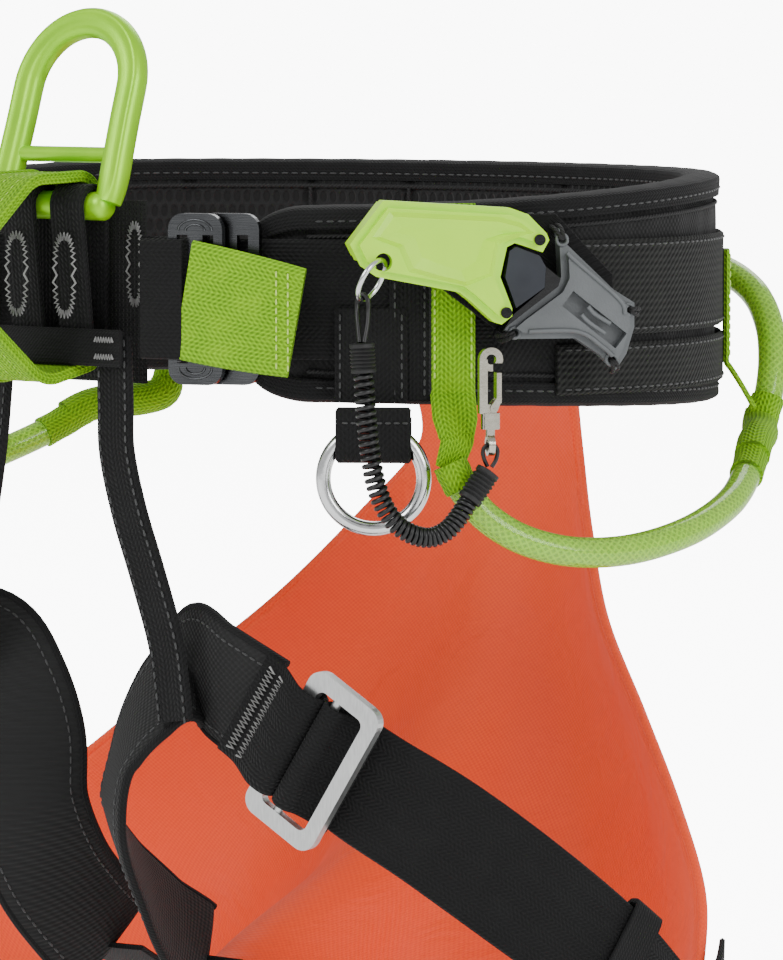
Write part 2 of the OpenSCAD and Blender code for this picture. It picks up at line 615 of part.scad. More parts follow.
cols = len(seat_rows[0]);
// The top row follows the belt's lower edge and the bottom row stays with the leg loops
function seat_pt(i, j) = seat_rows[i][j] - [0, 0, edge_drop * (1 - i / (rows - 1))];
function seat_normal(i, j) = unit(cross(
    seat_pt(i, min(j + 1, cols - 1)) - seat_pt(i, max(j - 1, 0)),
    seat_pt(min(i + 1, rows - 1), j) - seat_pt(max(i - 1, 0), j)));
// The back of the sheet; along the middle seam it stays on the middle plane
function seat_back(i, j) = let (n = seat_normal(i, j), flat = j == 0 && i < rows - 1)
    seat_pt(i, j) - [flat ? 0 : n[0], n[1], n[2]] * seat_t;
seam = 0.1;                      // half the gap at the middle seam
module seat_panel() color(ORANGE) both_sides() translate([seam, 0, 0]) {
    k = 2 * cols;
    last = (rows - 1) * k;
    polyhedron(
        points = [for (i = [0 : rows - 1], p = concat(
            [for (j = [0 : cols - 1]) seat_pt(i, j)],
            [for (j = [cols - 1 : -1 : 0]) seat_back(i, j)])) p],
        faces = concat(
            [for (i = [0 : rows - 2], j = [0 : k - 1]) [i * k + j, i * k + (j + 1) % k,
                (i + 1) * k + (j + 1) % k, (i + 1) * k + j]],
            [for (j = [0 : cols - 2]) [j + 1, j, k - 1 - j, k - 2 - j]],
            [for (j = [0 : cols - 2]) [last + j, last + j + 1, last + k - 2 - j,
                last + k - 1 - j]]));
}

belt_cover();
belt_foam_core();
belt_lining();
belt_binding();
waist_webbing();
hip_webbing();
front_webbing();
tie_in_panel();
tie_in_straps();
lower_tie_in();
anchor_ring();
anchor_ring_rod();
belay_loop();
buckle_front_plate_left();
buckle_rear_plate_left();
buckle_fold_left();
tail_left();
buckle_front_plate_right();
buckle_rear_plate_right();
buckle_fold_right();
tail_right();
ring_hanger_left();
ring_hanger_right();
accessory_ring_left();
accessory_ring_right();
gear_tab_front();
gear_tab_rear();
gear_tube_front_left();
gear_tube_rear_left();
gear_tube_front_right();
gear_tube_rear_right();
gear_core_front_left();
gear_core_rear_left();
gear_core_front_right();
gear_core_rear_right();
dock_plate();
dock_backer();
dock_frame();
dock_magnet();
handle_shell();
handle_back();
handle_lens();
handle_screws();
handle_magnet();
split_ring();
cable_loop_upper();
cuff_upper();
lanyard_coil();
cuff_lower();
cable_loop_lower();
snap_eye();
snap_body();
snap_gate();
leg_risers();
leg_pads();
leg_straps();
leg_buckle_left();
leg_buckle_right();
strap_keepers();
seat_panel();
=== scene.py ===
import math

import bmesh
import bpy
from mathutils import Matrix, Vector


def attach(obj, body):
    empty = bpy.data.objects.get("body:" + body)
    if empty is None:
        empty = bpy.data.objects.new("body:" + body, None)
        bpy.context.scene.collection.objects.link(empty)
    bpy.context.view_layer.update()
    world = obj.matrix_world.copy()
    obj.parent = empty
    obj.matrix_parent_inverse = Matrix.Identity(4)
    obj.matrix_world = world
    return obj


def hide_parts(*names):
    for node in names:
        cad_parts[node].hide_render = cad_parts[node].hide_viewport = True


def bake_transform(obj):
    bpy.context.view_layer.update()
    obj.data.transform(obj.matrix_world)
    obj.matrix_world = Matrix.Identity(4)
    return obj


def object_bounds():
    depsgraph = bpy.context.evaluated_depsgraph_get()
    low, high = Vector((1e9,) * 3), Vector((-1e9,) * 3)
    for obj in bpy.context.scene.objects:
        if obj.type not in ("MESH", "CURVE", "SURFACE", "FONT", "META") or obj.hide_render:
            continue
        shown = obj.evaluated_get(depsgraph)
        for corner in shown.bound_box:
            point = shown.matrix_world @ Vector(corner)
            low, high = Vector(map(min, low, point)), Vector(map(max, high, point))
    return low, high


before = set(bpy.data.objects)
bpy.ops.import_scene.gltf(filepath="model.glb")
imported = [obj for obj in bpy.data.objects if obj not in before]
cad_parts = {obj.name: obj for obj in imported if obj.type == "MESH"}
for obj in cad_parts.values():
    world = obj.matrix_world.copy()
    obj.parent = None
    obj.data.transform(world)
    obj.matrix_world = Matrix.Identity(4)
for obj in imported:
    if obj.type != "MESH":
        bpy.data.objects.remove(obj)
cad_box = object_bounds()

# ==== Studio ====
# A pale seamless floor under the hanging saddle, one broad soft light from the front left,
# one from the right, a weaker one behind and an even pale surround.


def colour(code):
    """The linear values of an sRGB hex colour."""
    out = []
    for i in (1, 3, 5):
        c = int(code[i : i + 2], 16) / 255
        out.append(c / 12.92 if c <= 0.04045 else ((c + 0.055) / 1.055) ** 2.4)
    return (*out, 1.0)


def add(mat, kind, inputs=None, out=0, **settings):
    """Adds a node, sets it up, joins or sets its inputs, and gives one of its outputs."""
    node = mat.node_tree.nodes.new("ShaderNode" + kind)
    for key, value in settings.items():
        setattr(node, key, value)
    for key, value in (inputs or {}).items():
        if isinstance(value, bpy.types.NodeSocket):
            mat.node_tree.links.new(value, node.inputs[key])
        else:
            node.inputs[key].default_value = value
    return None if out is None else node.outputs[out]


def mix(mat, share, low, high):
    """A colour from low to high by share; each is a hex colour or another node's colour."""
    low, high = (colour(c) if isinstance(c, str) else c for c in (low, high))
    return add(mat, "Mix", {0: share, 6: low, 7: high}, 2, data_type="RGBA")


def calc(mat, operation, *values):
    """One sum on numbers or on other nodes' values."""
    return add(mat, "Math", dict(enumerate(values)), operation=operation)


def surface(name, build):
    """A material: build(mat) gives the shader's inputs, with "height" and "relief" for bump."""
    mat = bpy.data.materials.new(name)
    mat.use_nodes = True
    mat.node_tree.nodes.clear()
    inputs = build(mat)
    height = inputs.pop("height", None)
    relief = inputs.pop("relief", 0.0003)
    if height is not None:
        inputs["Normal"] = add(mat, "Bump", {"Height": height, "Distance": relief, "Strength": 1.0})
    add(mat, "OutputMaterial", {"Surface": add(mat, "BsdfPrincipled", inputs)}, None)
    return mat


def paper(mat):
    """Matt white paper with a faint unevenness, lit so evenly that it shows no shadow."""
    spots = add(mat, "TexNoise", {"Scale": 3.0, "Detail": 2.0})
    tone = mix(mat, spots, "#F6F6F5", "#FFFFFF")
    glow = add(mat, "MapRange", {0: add(mat, "LightPath"), 3: 0.5, 4: 9.0})
    return {"Base Color": tone, "Roughness": 0.9, "Emission Color": colour("#FFFFFF"),
            "Emission Strength": glow}


scene = bpy.context.scene
floor_z = cad_box[0][2] - 0.004
floor_mesh = bpy.data.meshes.new("paper_floor")
floor_mesh.from_pydata(
    [(-6, -6, floor_z), (6, -6, floor_z), (6, 6, floor_z), (-6, 6, floor_z)], [], [(0, 1, 2, 3)])
floor = bpy.data.objects.new("paper_floor", floor_mesh)
floor_mesh.materials.append(surface("matt_paper", paper))
scene.collection.objects.link(floor)

aim = Vector((0.0279, 0.0218, -0.080))
stand = aim + 2.3 * Vector((0.6136, -0.7853, 0.0819))
camera = bpy.data.objects.new("camera", bpy.data.cameras.new("camera"))
camera.data.lens = 215.6
camera.data.sensor_width = 36
camera.location = stand
camera.rotation_euler = (aim - stand).to_track_quat("-Z", "Y").to_euler()
scene.collection.objects.link(camera)
scene.camera = camera

for name, place, size, power in [
    ("key_light", (-0.6, -2.4, 1.9), 1.4, 46),
    ("right_light", (2.4, -0.5, 0.9), 1.2, 30),
    ("back_light", (-0.9, 2.0, 1.6), 1.4, 22),
]:
    light = bpy.data.lights.new(name, "AREA")
    light.size = size
    light.energy = power
    lamp = bpy.data.objects.new(name, light)
    lamp.location = place
    lamp.rotation_euler = (-Vector(place)).to_track_quat("-Z", "Y").to_euler()
    scene.collection.objects.link(lamp)
world = bpy.data.worlds.new("pale_surround")
world.use_nodes = True
world.node_tree.nodes["Background"].inputs[0].default_value = colour("#FFFFFF")
world.node_tree.nodes["Background"].inputs[1].default_value = 0.7
backdrop = world.node_tree.nodes.new("ShaderNodeBackground")
backdrop.inputs[1].default_value = 12.0
seen = world.node_tree.nodes.new("ShaderNodeLightPath")
either = world.node_tree.nodes.new("ShaderNodeMixShader")
joins = world.node_tree.links
joins.new(seen.outputs["Is Camera Ray"], either.inputs[0])
joins.new(world.node_tree.nodes["Background"].outputs[0], either.inputs[1])
joins.new(backdrop.outputs[0], either.inputs[2])
joins.new(either.outputs[0], world.node_tree.nodes["World Output"].inputs[0])
scene.world = world

# ==== Lanyard ====
# A coiled cord of black urethane-jacketed steel cable, 2 mm thick, that keeps the hand tool
# on the belt. Each end runs in a ribbed rubber cuff and comes out as a small cable loop.

MM = 0.001
BELT_A, BELT_B = 176, 139


def out_dir(a):
    """Straight out of the belt at angle a, in degrees from the front."""
    s, c = math.sin(math.radians(a)), math.cos(math.radians(a))
    return Vector((BELT_B * s, -BELT_A * c, 0)).normalized()


def waist(a, off, z):
    """A point at angle a round the belt, off mm outside it and z mm up, in metres."""
    s, c = math.sin(math.radians(a)), math.cos(math.radians(a))
    return (Vector((BELT_A * s, -BELT_B * c, z)) + out_dir(a) * off) * MM


TOOL_AT = waist(57.5, 12.5, 15)
TOOL_U = Vector((math.cos(math.radians(50)), math.sin(math.radians(50)), 0))
TOOL_N = Vector((math.sin(math.radians(50)), -math.cos(math.radians(50)), 0))


def tool_pt(u, v, n):
    """A point in the tool's own plane: u across, v up and n outward, in mm."""
    return TOOL_AT + (TOOL_U * u + Vector((0, 0, v)) + TOOL_N * n) * MM


def smooth(points, per):
    """A smooth path through given points, per steps between each two."""
    pts = [Vector(p) for p in points]
    last = len(pts) - 1
    path = []
    for i in range(last):
        a, b, c, d = pts[max(i - 1, 0)], pts[i], pts[i + 1], pts[min(i + 2, last)]
        for j in range(per):
            t = j / per
            path.append(0.5 * (2 * b + (c - a) * t + (2 * a - 5 * b + 4 * c - d) * t * t
                               + (3 * b - a - 3 * c + d) * t ** 3))
    return path + [pts[-1]]


def tangents(path):
    """The direction of a path at each of its points."""
    last = len(path) - 1
    return [(path[min(i + 1, last)] - path[max(i - 1, 0)]).normalized()
            for i in range(last + 1)]


def skin(name, tubes, mat, body, stands_for=(), crease=50):
    """One piece from skins through equal rings of points. Its UV map holds metres: along the
    piece, then round the ring. A piece that bends between two bodies rides on none."""
    verts, faces, uvs = [], [], []
    for rings in tubes:
        base, k = len(verts), len(rings[0])
        verts += [tuple(p) for r in rings for p in r]
        along = [0.0]
        for r, s in zip(rings, rings[1:]):
            mid = sum((Vector(q) - Vector(p) for p, q in zip(r, s)), Vector()) / k
            along.append(along[-1] + mid.length)
        around = [0.0]
        for j in range(k):
            around.append(around[-1] + (Vector(rings[0][(j + 1) % k]) - Vector(rings[0][j])).length)
        for i in range(len(rings) - 1):
            for j in range(k):
                a, b = base + i * k + j, base + i * k + (j + 1) % k
                faces.append((a, b, b + k, a + k))
                uvs += [(along[i], around[j]), (along[i], around[j + 1]),
                        (along[i + 1], around[j + 1]), (along[i + 1], around[j])]
        for i, order in ((0, range(k - 1, -1, -1)), (len(rings) - 1, range(k))):
            faces.append(tuple(base + i * k + j for j in order))
            uvs += [(along[i], around[j]) for j in order]
    mesh = bpy.data.meshes.new(name)
    mesh.from_pydata(verts, [], faces)
    layer = mesh.uv_layers.new(name="metres")
    for loop, uv in zip(layer.data, uvs):
        loop.uv = uv
    work = bmesh.new()
    work.from_mesh(mesh)
    bmesh.ops.recalc_face_normals(work, faces=work.faces)
    work.to_mesh(mesh)
    work.free()
    mesh.shade_smooth()
    mesh.set_sharp_from_angle(angle=math.radians(crease))
    mesh.materials.append(mat)
    made = bpy.data.objects.new(name, mesh)
    scene.collection.objects.link(made)
    if body:
        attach(made, body)
    if stands_for:
        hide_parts(*stands_for)
    return made


def round_rings(path, radius, sides=8):
    """Rings for a round tube; radius is a length or a function of the share of the way."""
    rings = []
    d0 = tangents(path)
    u = d0[0].orthogonal().normalized()
    for i, (p, d) in enumerate(zip(path, d0)):
        u = (u - d * u.dot(d)).normalized()
        v = d.cross(u)
        r = radius(i / (len(path) - 1)) if callable(radius) else radius
        rings.append([p + (u * math.cos(2 * math.pi * k / sides)
                           + v * math.sin(2 * math.pi * k / sides)) * r for k in range(sides)])
    return rings


def urethane(mat):
    """Moulded black urethane: smooth, slightly glossy, faintly dusty in patches."""
    dust = add(mat, "TexNoise", {"Vector": add(mat, "TexCoord", out=3), "Scale": 90.0,
                                 "Detail": 5.0})
    tone = mix(mat, dust, "#020203", "#0C0D0E")
    rough = add(mat, "MapRange", {0: dust, 3: 0.28, 4: 0.5})
    return {"Base Color": tone, "Roughness": rough, "IOR": 1.5, "height": dust,
            "relief": 0.00005}


black_urethane = surface("black_urethane", urethane)

coil_route = [(-53.5, -40, 18), (-53, -50, 18), (-52.2, -60, 18), (-51, -70, 18),
              (-49.2, -80, 18), (-46, -89, 18), (-41, -96, 18), (-34.5, -100, 18),
              (-28, -101, 17.5), (-22, -98.5, 17), (-17.2, -93.5, 16), (-13.4, -88, 15)]
coil_line = smooth([tool_pt(*p) for p in coil_route], 24)
COIL_TURNS, TURN_STEPS = 42, 14
coil_d = tangents(coil_line)
side = coil_d[0].orthogonal().normalized()
helix = []
steps = COIL_TURNS * TURN_STEPS
frames = []
for p, d in zip(coil_line, coil_d):
    side = (side - d * side.dot(d)).normalized()
    frames.append((p, side.copy(), d.cross(side)))
for i in range(steps + 1):
    at = i / steps * (len(frames) - 1)
    j = min(int(at), len(frames) - 2)
    (p, u, v), (q, s, w) = frames[j], frames[j + 1]
    t = at - j
    turn = 2 * math.pi * i / TURN_STEPS
    grow = min(1.0, i / TURN_STEPS + 0.3, (steps - i) / TURN_STEPS + 0.3)
    helix.append(p.lerp(q, t) + (u.lerp(s, t) * math.cos(turn)
                                 + v.lerp(w, t) * math.sin(turn)) * 3.0 * MM * grow)
coil = skin("lanyard_cord", [round_rings(helix, 0.95 * MM, 8)], black_urethane, None,
            ["lanyard_coil"], 80)


def ribbed_cuff(name, start, end, body, node):
    """A moulded cuff: tapered, with eight ribs for bending, round the cable's end."""
    path = [Vector(start).lerp(Vector(end), i / 48) for i in range(49)]

    def outline(t):
        ribs = 0.35 * math.cos(2 * math.pi * 8 * t) if 0.12 < t < 0.9 else 0.3
        return (4.3 + ribs + 0.25 * math.sin(math.pi * t)) * MM * (0.72 if t in (0, 1) else 1)

    cuff = skin(name, [round_rings(path, outline, 20)], black_rubber, body, [node], 60)
    return cuff


def rubber(mat):
    """Moulded rubber: dull black with a grey bloom and a fine moulding grain."""
    grain = add(mat, "TexNoise", {"Vector": add(mat, "TexCoord", out=3), "Scale": 900.0,
                                  "Detail": 3.0})
    bloom = add(mat, "TexNoise", {"Vector": add(mat, "TexCoord", out=3), "Scale": 60.0})
    tone = mix(mat, bloom, "#040404", "#121213")
    return {"Base Color": tone, "Roughness": 0.6, "height": grain, "relief": 0.0001}


black_rubber = surface("black_moulded_rubber", rubber)
cuff_upper = ribbed_cuff("cuff_at_tool", tool_pt(-54.2, -29, 18), tool_pt(-53.5, -40, 18),
                         "tool", "cuff_upper")
cuff_lower = ribbed_cuff("cuff_at_snap", tool_pt(-13.4, -88, 15), tool_pt(-5.5, -77, 14),
                         "root", "cuff_lower")
loop_high = smooth([tool_pt(*p) for p in [
    (-53.4, -28.8, 18.2), (-51.8, -22, 16.6), (-51.2, -17, 15.1), (-51.3, -13.5, 14.9),
    (-52.95, -11.3, 13.5), (-54.6, -13.5, 12.1), (-54.9, -17, 12.6), (-55.1, -22, 15),
    (-55, -28.8, 17.8)]], 8)
loop_low = smooth([tool_pt(*p) for p in [
    (-4.6, -75.6, 14.6), (-2.9, -73, 14.3), (-2.2, -70, 14), (-3.2, -67.9, 14),
    (-5, -67.4, 14), (-6.8, -67.9, 14), (-7.8, -70, 14), (-7.1, -73, 13.7),
    (-5.9, -75.4, 13.4)]], 8)
cable_high = skin("cable_eye_at_tool", [round_rings(loop_high, 0.9 * MM, 10)], black_urethane,
                  "tool", ["cable_loop_upper"], 80)
cable_low = skin("cable_eye_at_snap", [round_rings(loop_low, 0.8 * MM, 10)], black_urethane,
                 "root", ["cable_loop_lower"], 80)
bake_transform(coil)

# ==== Waist belt pad ====
# A moulded foam pad in heavy black pack cloth, lined with honeycomb spacer mesh for air,
# stitched through along piping lines, with folded binding tape over its top and bottom edge.

BELT_T, HALF_H, PAD_START, BIND_W, SWELL_SPAN = 13.5, 42, 25, 4, 105


def swell(a):
    """0 at the pad's front ends, rising to 1 towards the back where the pad is deepest."""
    s = min(a, 360 - a)
    return (1 - math.cos(math.pi * min(max(s - PAD_START, 0), SWELL_SPAN) / SWELL_SPAN)) / 2


def end_round(a):
    """How much the rounded front ends take off the pad's height."""
    s = min(a, 360 - a)
    if s >= PAD_START + 8:
        return 0.0
    return 13 * (1 - math.sqrt(max(0.0, 1 - ((PAD_START + 8 - s) / 8) ** 2)))


def belt_top(a):
    return HALF_H - 7 + 10 * swell(a) - end_round(a)


def belt_bottom(a):
    return -HALF_H + 3 - 6 * swell(a) + end_round(a)


def dip(x, at, width, depth):
    """A rounded groove of the given depth where x is near at."""
    return -depth * math.exp(-(((x - at) / width) ** 2))


def cover_off(a, z):
    """How far the outer cloth stands from the foam's face: crowned, drawn in at the seams."""
    low, high = belt_bottom(a), belt_top(a)
    t = (z - low) / (high - low)
    crown = -0.5 + 0.75 * math.sin(math.pi * t) ** 0.5
    seams = dip(z, high - 10, 1.3, 1.5) + dip(z, low + 9, 1.3, 1.5)
    wave = 0.35 * math.sin(a * 0.31 + z * 0.11) + 0.25 * math.sin(a * 0.83 - z * 0.07)
    s = min(a, 360 - a)
    ends = dip(s, PAD_START + 8, 1.2, 1.2) - 2.5 * max(0, 1 - (s - PAD_START) / 1.6)
    return crown + seams + wave + ends - 1.0


PANEL_SEAMS = [150, 166, 194, 210]


def lining_off(a, z):
    """The inner mesh face, quilted between its upright seams and the piping along its edge."""
    low, high = belt_bottom(a), belt_top(a)
    seams = sum(dip(a, at, 0.8, 1.6) for at in PANEL_SEAMS + [60, 95, 130, 230, 265, 300])
    edges = dip(z, high - 7.5, 1.1, 1.4) + dip(z, low + 7.5, 1.1, 1.4)
    t = (z - low) / (high - low)
    return -BELT_T - 1.6 * math.sin(math.pi * t) ** 0.4 - seams - edges + 0.4


def belt_face(name, off_of, back, mat, stands_for, inset, rows=44, cols=300):
    """One face of the pad as a closed skin between its shaped side and a flat back."""
    rings = []
    for i in range(cols + 1):
        a = PAD_START + 0.4 + (360 - 2 * PAD_START - 0.8) * i / cols
        low, high = belt_bottom(a) + inset, belt_top(a) - inset
        heights = [low + (high - low) * j / rows for j in range(rows + 1)]
        rings.append([waist(a, off_of(a, z), z) for z in heights]
                     + [waist(a, back, high), waist(a, back, low)])
    return skin(name, [rings], mat, "root", stands_for, 70)


def cloth_height(mat, coords, pitch):
    """Plain weave: threads over and under each other, pitch mm from thread to thread."""
    split = add(mat, "SeparateXYZ", {0: coords})
    node = split.node
    waves = []
    for axis in (0, 1):
        phase = calc(mat, "MULTIPLY", node.outputs[axis], math.pi / pitch)
        waves.append(calc(mat, "SINE", phase))
    cross = calc(mat, "MULTIPLY", waves[0], waves[1])
    return add(mat, "MapRange", {0: cross, 1: -1.0, 2: 1.0})


def metres_uv(mat):
    """The skin's own map, turned to millimetres."""
    flat = add(mat, "UVMap", uv_map="metres")
    return add(mat, "VectorMath", {0: flat, 3: 1000.0}, operation="SCALE")


def pack_cloth(mat):
    """Heavy nylon pack cloth: matt black with grey fade, plain weave. The real thread is
    0.6 mm; it is drawn at 1.1 mm so that it shows."""
    at = metres_uv(mat)
    weave = cloth_height(mat, at, 1.1)
    fade = add(mat, "TexNoise", {"Vector": at, "Scale": 0.045, "Detail": 6.0,
                                 "Roughness": 0.62})
    dark = mix(mat, fade, "#050506", "#131414")
    tone = mix(mat, weave, "#030303", dark)
    return {"Base Color": tone, "Roughness": 0.88, "Sheen Weight": 0.04,
            "Sheen Roughness": 0.5, "height": weave, "relief": 0.00045}


def spacer_mesh(mat):
    """Knitted spacer mesh: six-sided cells 4.2 mm apart, dark in the holes, soft grey ribs."""
    at = metres_uv(mat)
    wide, tall = 4.2, 4.2 * math.sqrt(3)
    reach = []
    for shift in (0.0, 0.5):
        moved = add(mat, "VectorMath", {0: at, 1: (shift * wide, shift * tall, 0)},
                    operation="ADD")
        cell = add(mat, "VectorMath", {0: moved, 1: (wide / 2, tall / 2, 1),
                                       2: (-wide / 2, -tall / 2, -1)}, operation="WRAP")
        flat = add(mat, "VectorMath", {0: cell, 1: (1, 1, 0)}, operation="MULTIPLY")
        reach.append(add(mat, "VectorMath", {0: flat}, 1, operation="LENGTH"))
    near = calc(mat, "MINIMUM", reach[0], reach[1])
    rib = add(mat, "MapRange", {0: near, 1: 1.1, 2: 1.9}, interpolation_type="SMOOTHSTEP")
    fuzz = add(mat, "TexNoise", {"Vector": at, "Scale": 1.7, "Detail": 3.0})
    yarn = mix(mat, fuzz, "#09090A", "#191A1A")
    tone = mix(mat, rib, "#020202", yarn)
    return {"Base Color": tone, "Roughness": 0.92, "Sheen Weight": 0.05, "height": rib,
            "relief": 0.0010}


black_pack_cloth = surface("black_nylon_pack_cloth", pack_cloth)
black_spacer_mesh = surface("black_spacer_mesh", spacer_mesh)
belt_pad = belt_face("belt_pad_cloth", cover_off, -6.0, black_pack_cloth,
                     ["belt_cover", "belt_foam_core"], BIND_W - 1.5)
belt_mesh = belt_face("belt_lining_mesh", lining_off, -6.0, black_spacer_mesh,
                      ["belt_lining"], BIND_W - 1.5)


def woven(dark, light, rib, pick, slant, relief=0.0005, fade="#000000", fade_scale=0.05):
    """Webbing: ribs of warp thread along the strap, rib mm apart, with picks slanting across
    them in chevrons slant mm wide, as nylon harness webbing has."""
    def build(mat):
        at = metres_uv(mat)
        split = add(mat, "SeparateXYZ", {0: at}).node
        zigzag = calc(mat, "PINGPONG", split.outputs[1], slant)
        run = calc(mat, "ADD", split.outputs[0], zigzag)
        picks = calc(mat, "SINE", calc(mat, "MULTIPLY", run, 2 * math.pi / pick))
        ribs = calc(mat, "SINE", calc(mat, "MULTIPLY", split.outputs[1], 2 * math.pi / rib))
        both = calc(mat, "ADD", picks, ribs)
        height = add(mat, "MapRange", {0: both, 1: -2.0, 2: 2.0})
        wear = add(mat, "TexNoise", {"Vector": at, "Scale": fade_scale, "Detail": 5.0,
                                     "Roughness": 0.65})
        base = mix(mat, height, dark, light)
        amount = add(mat, "MapRange", {0: wear, 1: 0.45, 2: 0.8, 3: 0.0, 4: 0.35})
        tone = mix(mat, amount, base, fade)
        return {"Base Color": tone, "Roughness": 0.8, "Specular IOR Level": 0.25,
                "Sheen Weight": 0.03, "Sheen Roughness": 0.45, "height": height,
                "relief": relief}
    return build


black_webbing = surface("black_nylon_webbing",
                        woven("#030303", "#121213", 1.5, 2.4, 5.5, fade="#1A1B1B"))
black_binding = surface("black_binding_tape",
                        woven("#050505", "#141415", 1.3, 1.6, 40, 0.0003, fade="#1E1F1F"))


def edge_tape(high):
    """Binding tape folded over one edge of the pad, as a rounded bead with flat flanks."""
    rings = []
    for i in range(301):
        a = PAD_START + (360 - 2 * PAD_START) * i / 300
        edge = belt_top(a) if high else belt_bottom(a)
        inward = -1 if high else 1
        wave = 0.25 * math.sin(a * 0.9)
        ring = []
        for k in range(13):
            turn = math.pi * k / 12
            off = -BELT_T / 2 + 0.2 + (BELT_T / 2 + 0.9) * math.cos(turn)
            lift = 3.0 * math.sin(turn) ** 0.8
            ring.append(waist(a, off, edge + inward * (3.2 - lift) + wave * 0.3))
        ring.append(waist(a, -BELT_T - 0.9, edge + inward * 9.0))
        ring.append(waist(a, -BELT_T + 1.5, edge + inward * 9.2))
        ring.append(waist(a, -1.6, edge + inward * 9.2))
        ring.append(waist(a, 0.7, edge + inward * 9.0))
        rings.append(ring)
    return rings


belt_tape = skin("belt_edge_tape", [edge_tape(True), edge_tape(False)],
                 black_binding, "root", ["belt_binding"], 60)


def thread_finish(code):
    """Polyester thread with a soft shine and a twist too fine to see, drawn as grain."""
    def build(mat):
        grain = add(mat, "TexNoise", {"Vector": add(mat, "TexCoord", out=3), "Scale": 1400.0})
        tone = mix(mat, grain, code[0], code[1])
        return {"Base Color": tone, "Roughness": 0.55, "Sheen Weight": 0.2, "height": grain,
                "relief": 0.0001}
    return build


grey_thread = surface("grey_polyester_thread", thread_finish(("#6E6E6E", "#A2A2A0")))
dark_thread = surface("charcoal_polyester_thread", thread_finish(("#1D1E1E", "#353637")))


def stitches(path, pitch=4.2, long=2.9):
    """Separate stitches along a line, as short thin rings ready for skin."""
    made, travelled, nxt = [], 0.0, pitch / 2
    for a, b in zip(path, path[1:]):
        step = (b - a).length / MM
        while travelled + step >= nxt:
            mid = a.lerp(b, (nxt - travelled) / step)
            d = (b - a).normalized() * long * MM / 2
            made.append(round_rings([mid - d, mid - d * 0.6, mid + d * 0.6, mid + d],
                                    lambda t: (0.36 if 0.1 < t < 0.9 else 0.12) * MM, 6))
            nxt += pitch
        travelled += step
    return made


def belt_line(a0, a1, off, height):
    """A line round the belt, with the offset and height as functions of the angle."""
    n = max(2, int(abs(a1 - a0) / 1.2))
    return [waist(a0 + (a1 - a0) * i / n, off(a0 + (a1 - a0) * i / n),
                  height(a0 + (a1 - a0) * i / n)) for i in range(n + 1)]


rows = []
for high in (True, False):
    edge, way = (belt_top, -1) if high else (belt_bottom, 1)
    for off in (0.95, -BELT_T - 1.05):
        rows += stitches(belt_line(34, 326, lambda a: off, lambda a: edge(a) + way * 6.2))
skin("belt_edge_stitching", rows, dark_thread, "root", (), 80)


def piping(mat):
    """Narrow woven piping, black, with its cord's slant weave."""
    at = metres_uv(mat)
    split = add(mat, "SeparateXYZ", {0: at}).node
    run = calc(mat, "ADD", split.outputs[0], split.outputs[1])
    twill = calc(mat, "SINE", calc(mat, "MULTIPLY", run, 3.6))
    height = add(mat, "MapRange", {0: twill, 1: -1.0, 2: 1.0})
    tone = mix(mat, height, "#040404", "#181819")
    return {"Base Color": tone, "Roughness": 0.75, "height": height, "relief": 0.0003}


black_piping = surface("black_woven_piping", piping)
lines = []
for way, edge in ((-1, belt_top), (1, belt_bottom)):
    for inside in (True, False):
        if inside:
            path = belt_line(30, 330, lambda a: -BELT_T - 1.0, lambda a: edge(a) + way * 11.5)
        else:
            path = belt_line(33, 327, lambda a: -0.7, lambda a: edge(a) + way * 12)
        lines.append(round_rings(path, 0.9 * MM, 8))
for a in PANEL_SEAMS:
    path = [waist(a, -BELT_T - 1.6, belt_bottom(a) + 12 + (belt_top(a) - belt_bottom(a) - 24)
                  * i / 8) for i in range(9)]
    lines.append(round_rings(path, 0.8 * MM, 8))
skin("belt_piping", lines, black_piping, "root", (), 80)

# ==== Belt webbing ====
# Load webbing wraps the pad: a broad coarse-woven band round the hips, a second one below it,
# and close-woven 45 mm webbing that runs on from the hips to the front.


def ribbon(path, facing, width, thick, edge=0.9, across=6, bow=0.0):
    """Rings of a flat strap along a path. facing gives its outer side; width may vary with
    the share of the way, and bow lifts its middle."""
    rings = []
    for i, (p, d) in enumerate(zip(path, tangents(path))):
        t = i / (len(path) - 1)
        f = facing(p, t) if callable(facing) else Vector(facing)
        over = d.cross(f).normalized()
        n = over.cross(d)
        w = width(t) if callable(width) else width
        half, rise = w / 2, thick / 2
        ring = [(-half, 0.0)]
        for k in range(across + 1):
            x = -half + edge + (w - 2 * edge) * k / across
            ring.append((x, rise + bow * (1 - (2 * x / w) ** 2)))
        ring.append((half, 0.0))
        for k in range(across, -1, -1):
            x = -half + edge + (w - 2 * edge) * k / across
            ring.append((x, -rise + bow * (1 - (2 * x / w) ** 2)))
        rings.append([p + (over * x + n * y) * MM for x, y in ring])
    return rings


def belt_ribbon(a0, a1, off, mid, width, thick, step=1.2, bow=0.0):
    """A strap that follows the belt between two angles."""
    n = max(4, int(abs(a1 - a0) / step))
    angles = [a0 + (a1 - a0) * i / n for i in range(n + 1)]
    path = [waist(a, off(a), mid(a)) for a in angles]
    return ribbon(path, lambda p, t: out_dir(a0 + (a1 - a0) * t),
                  lambda t: width(a0 + (a1 - a0) * t), thick, bow=bow)


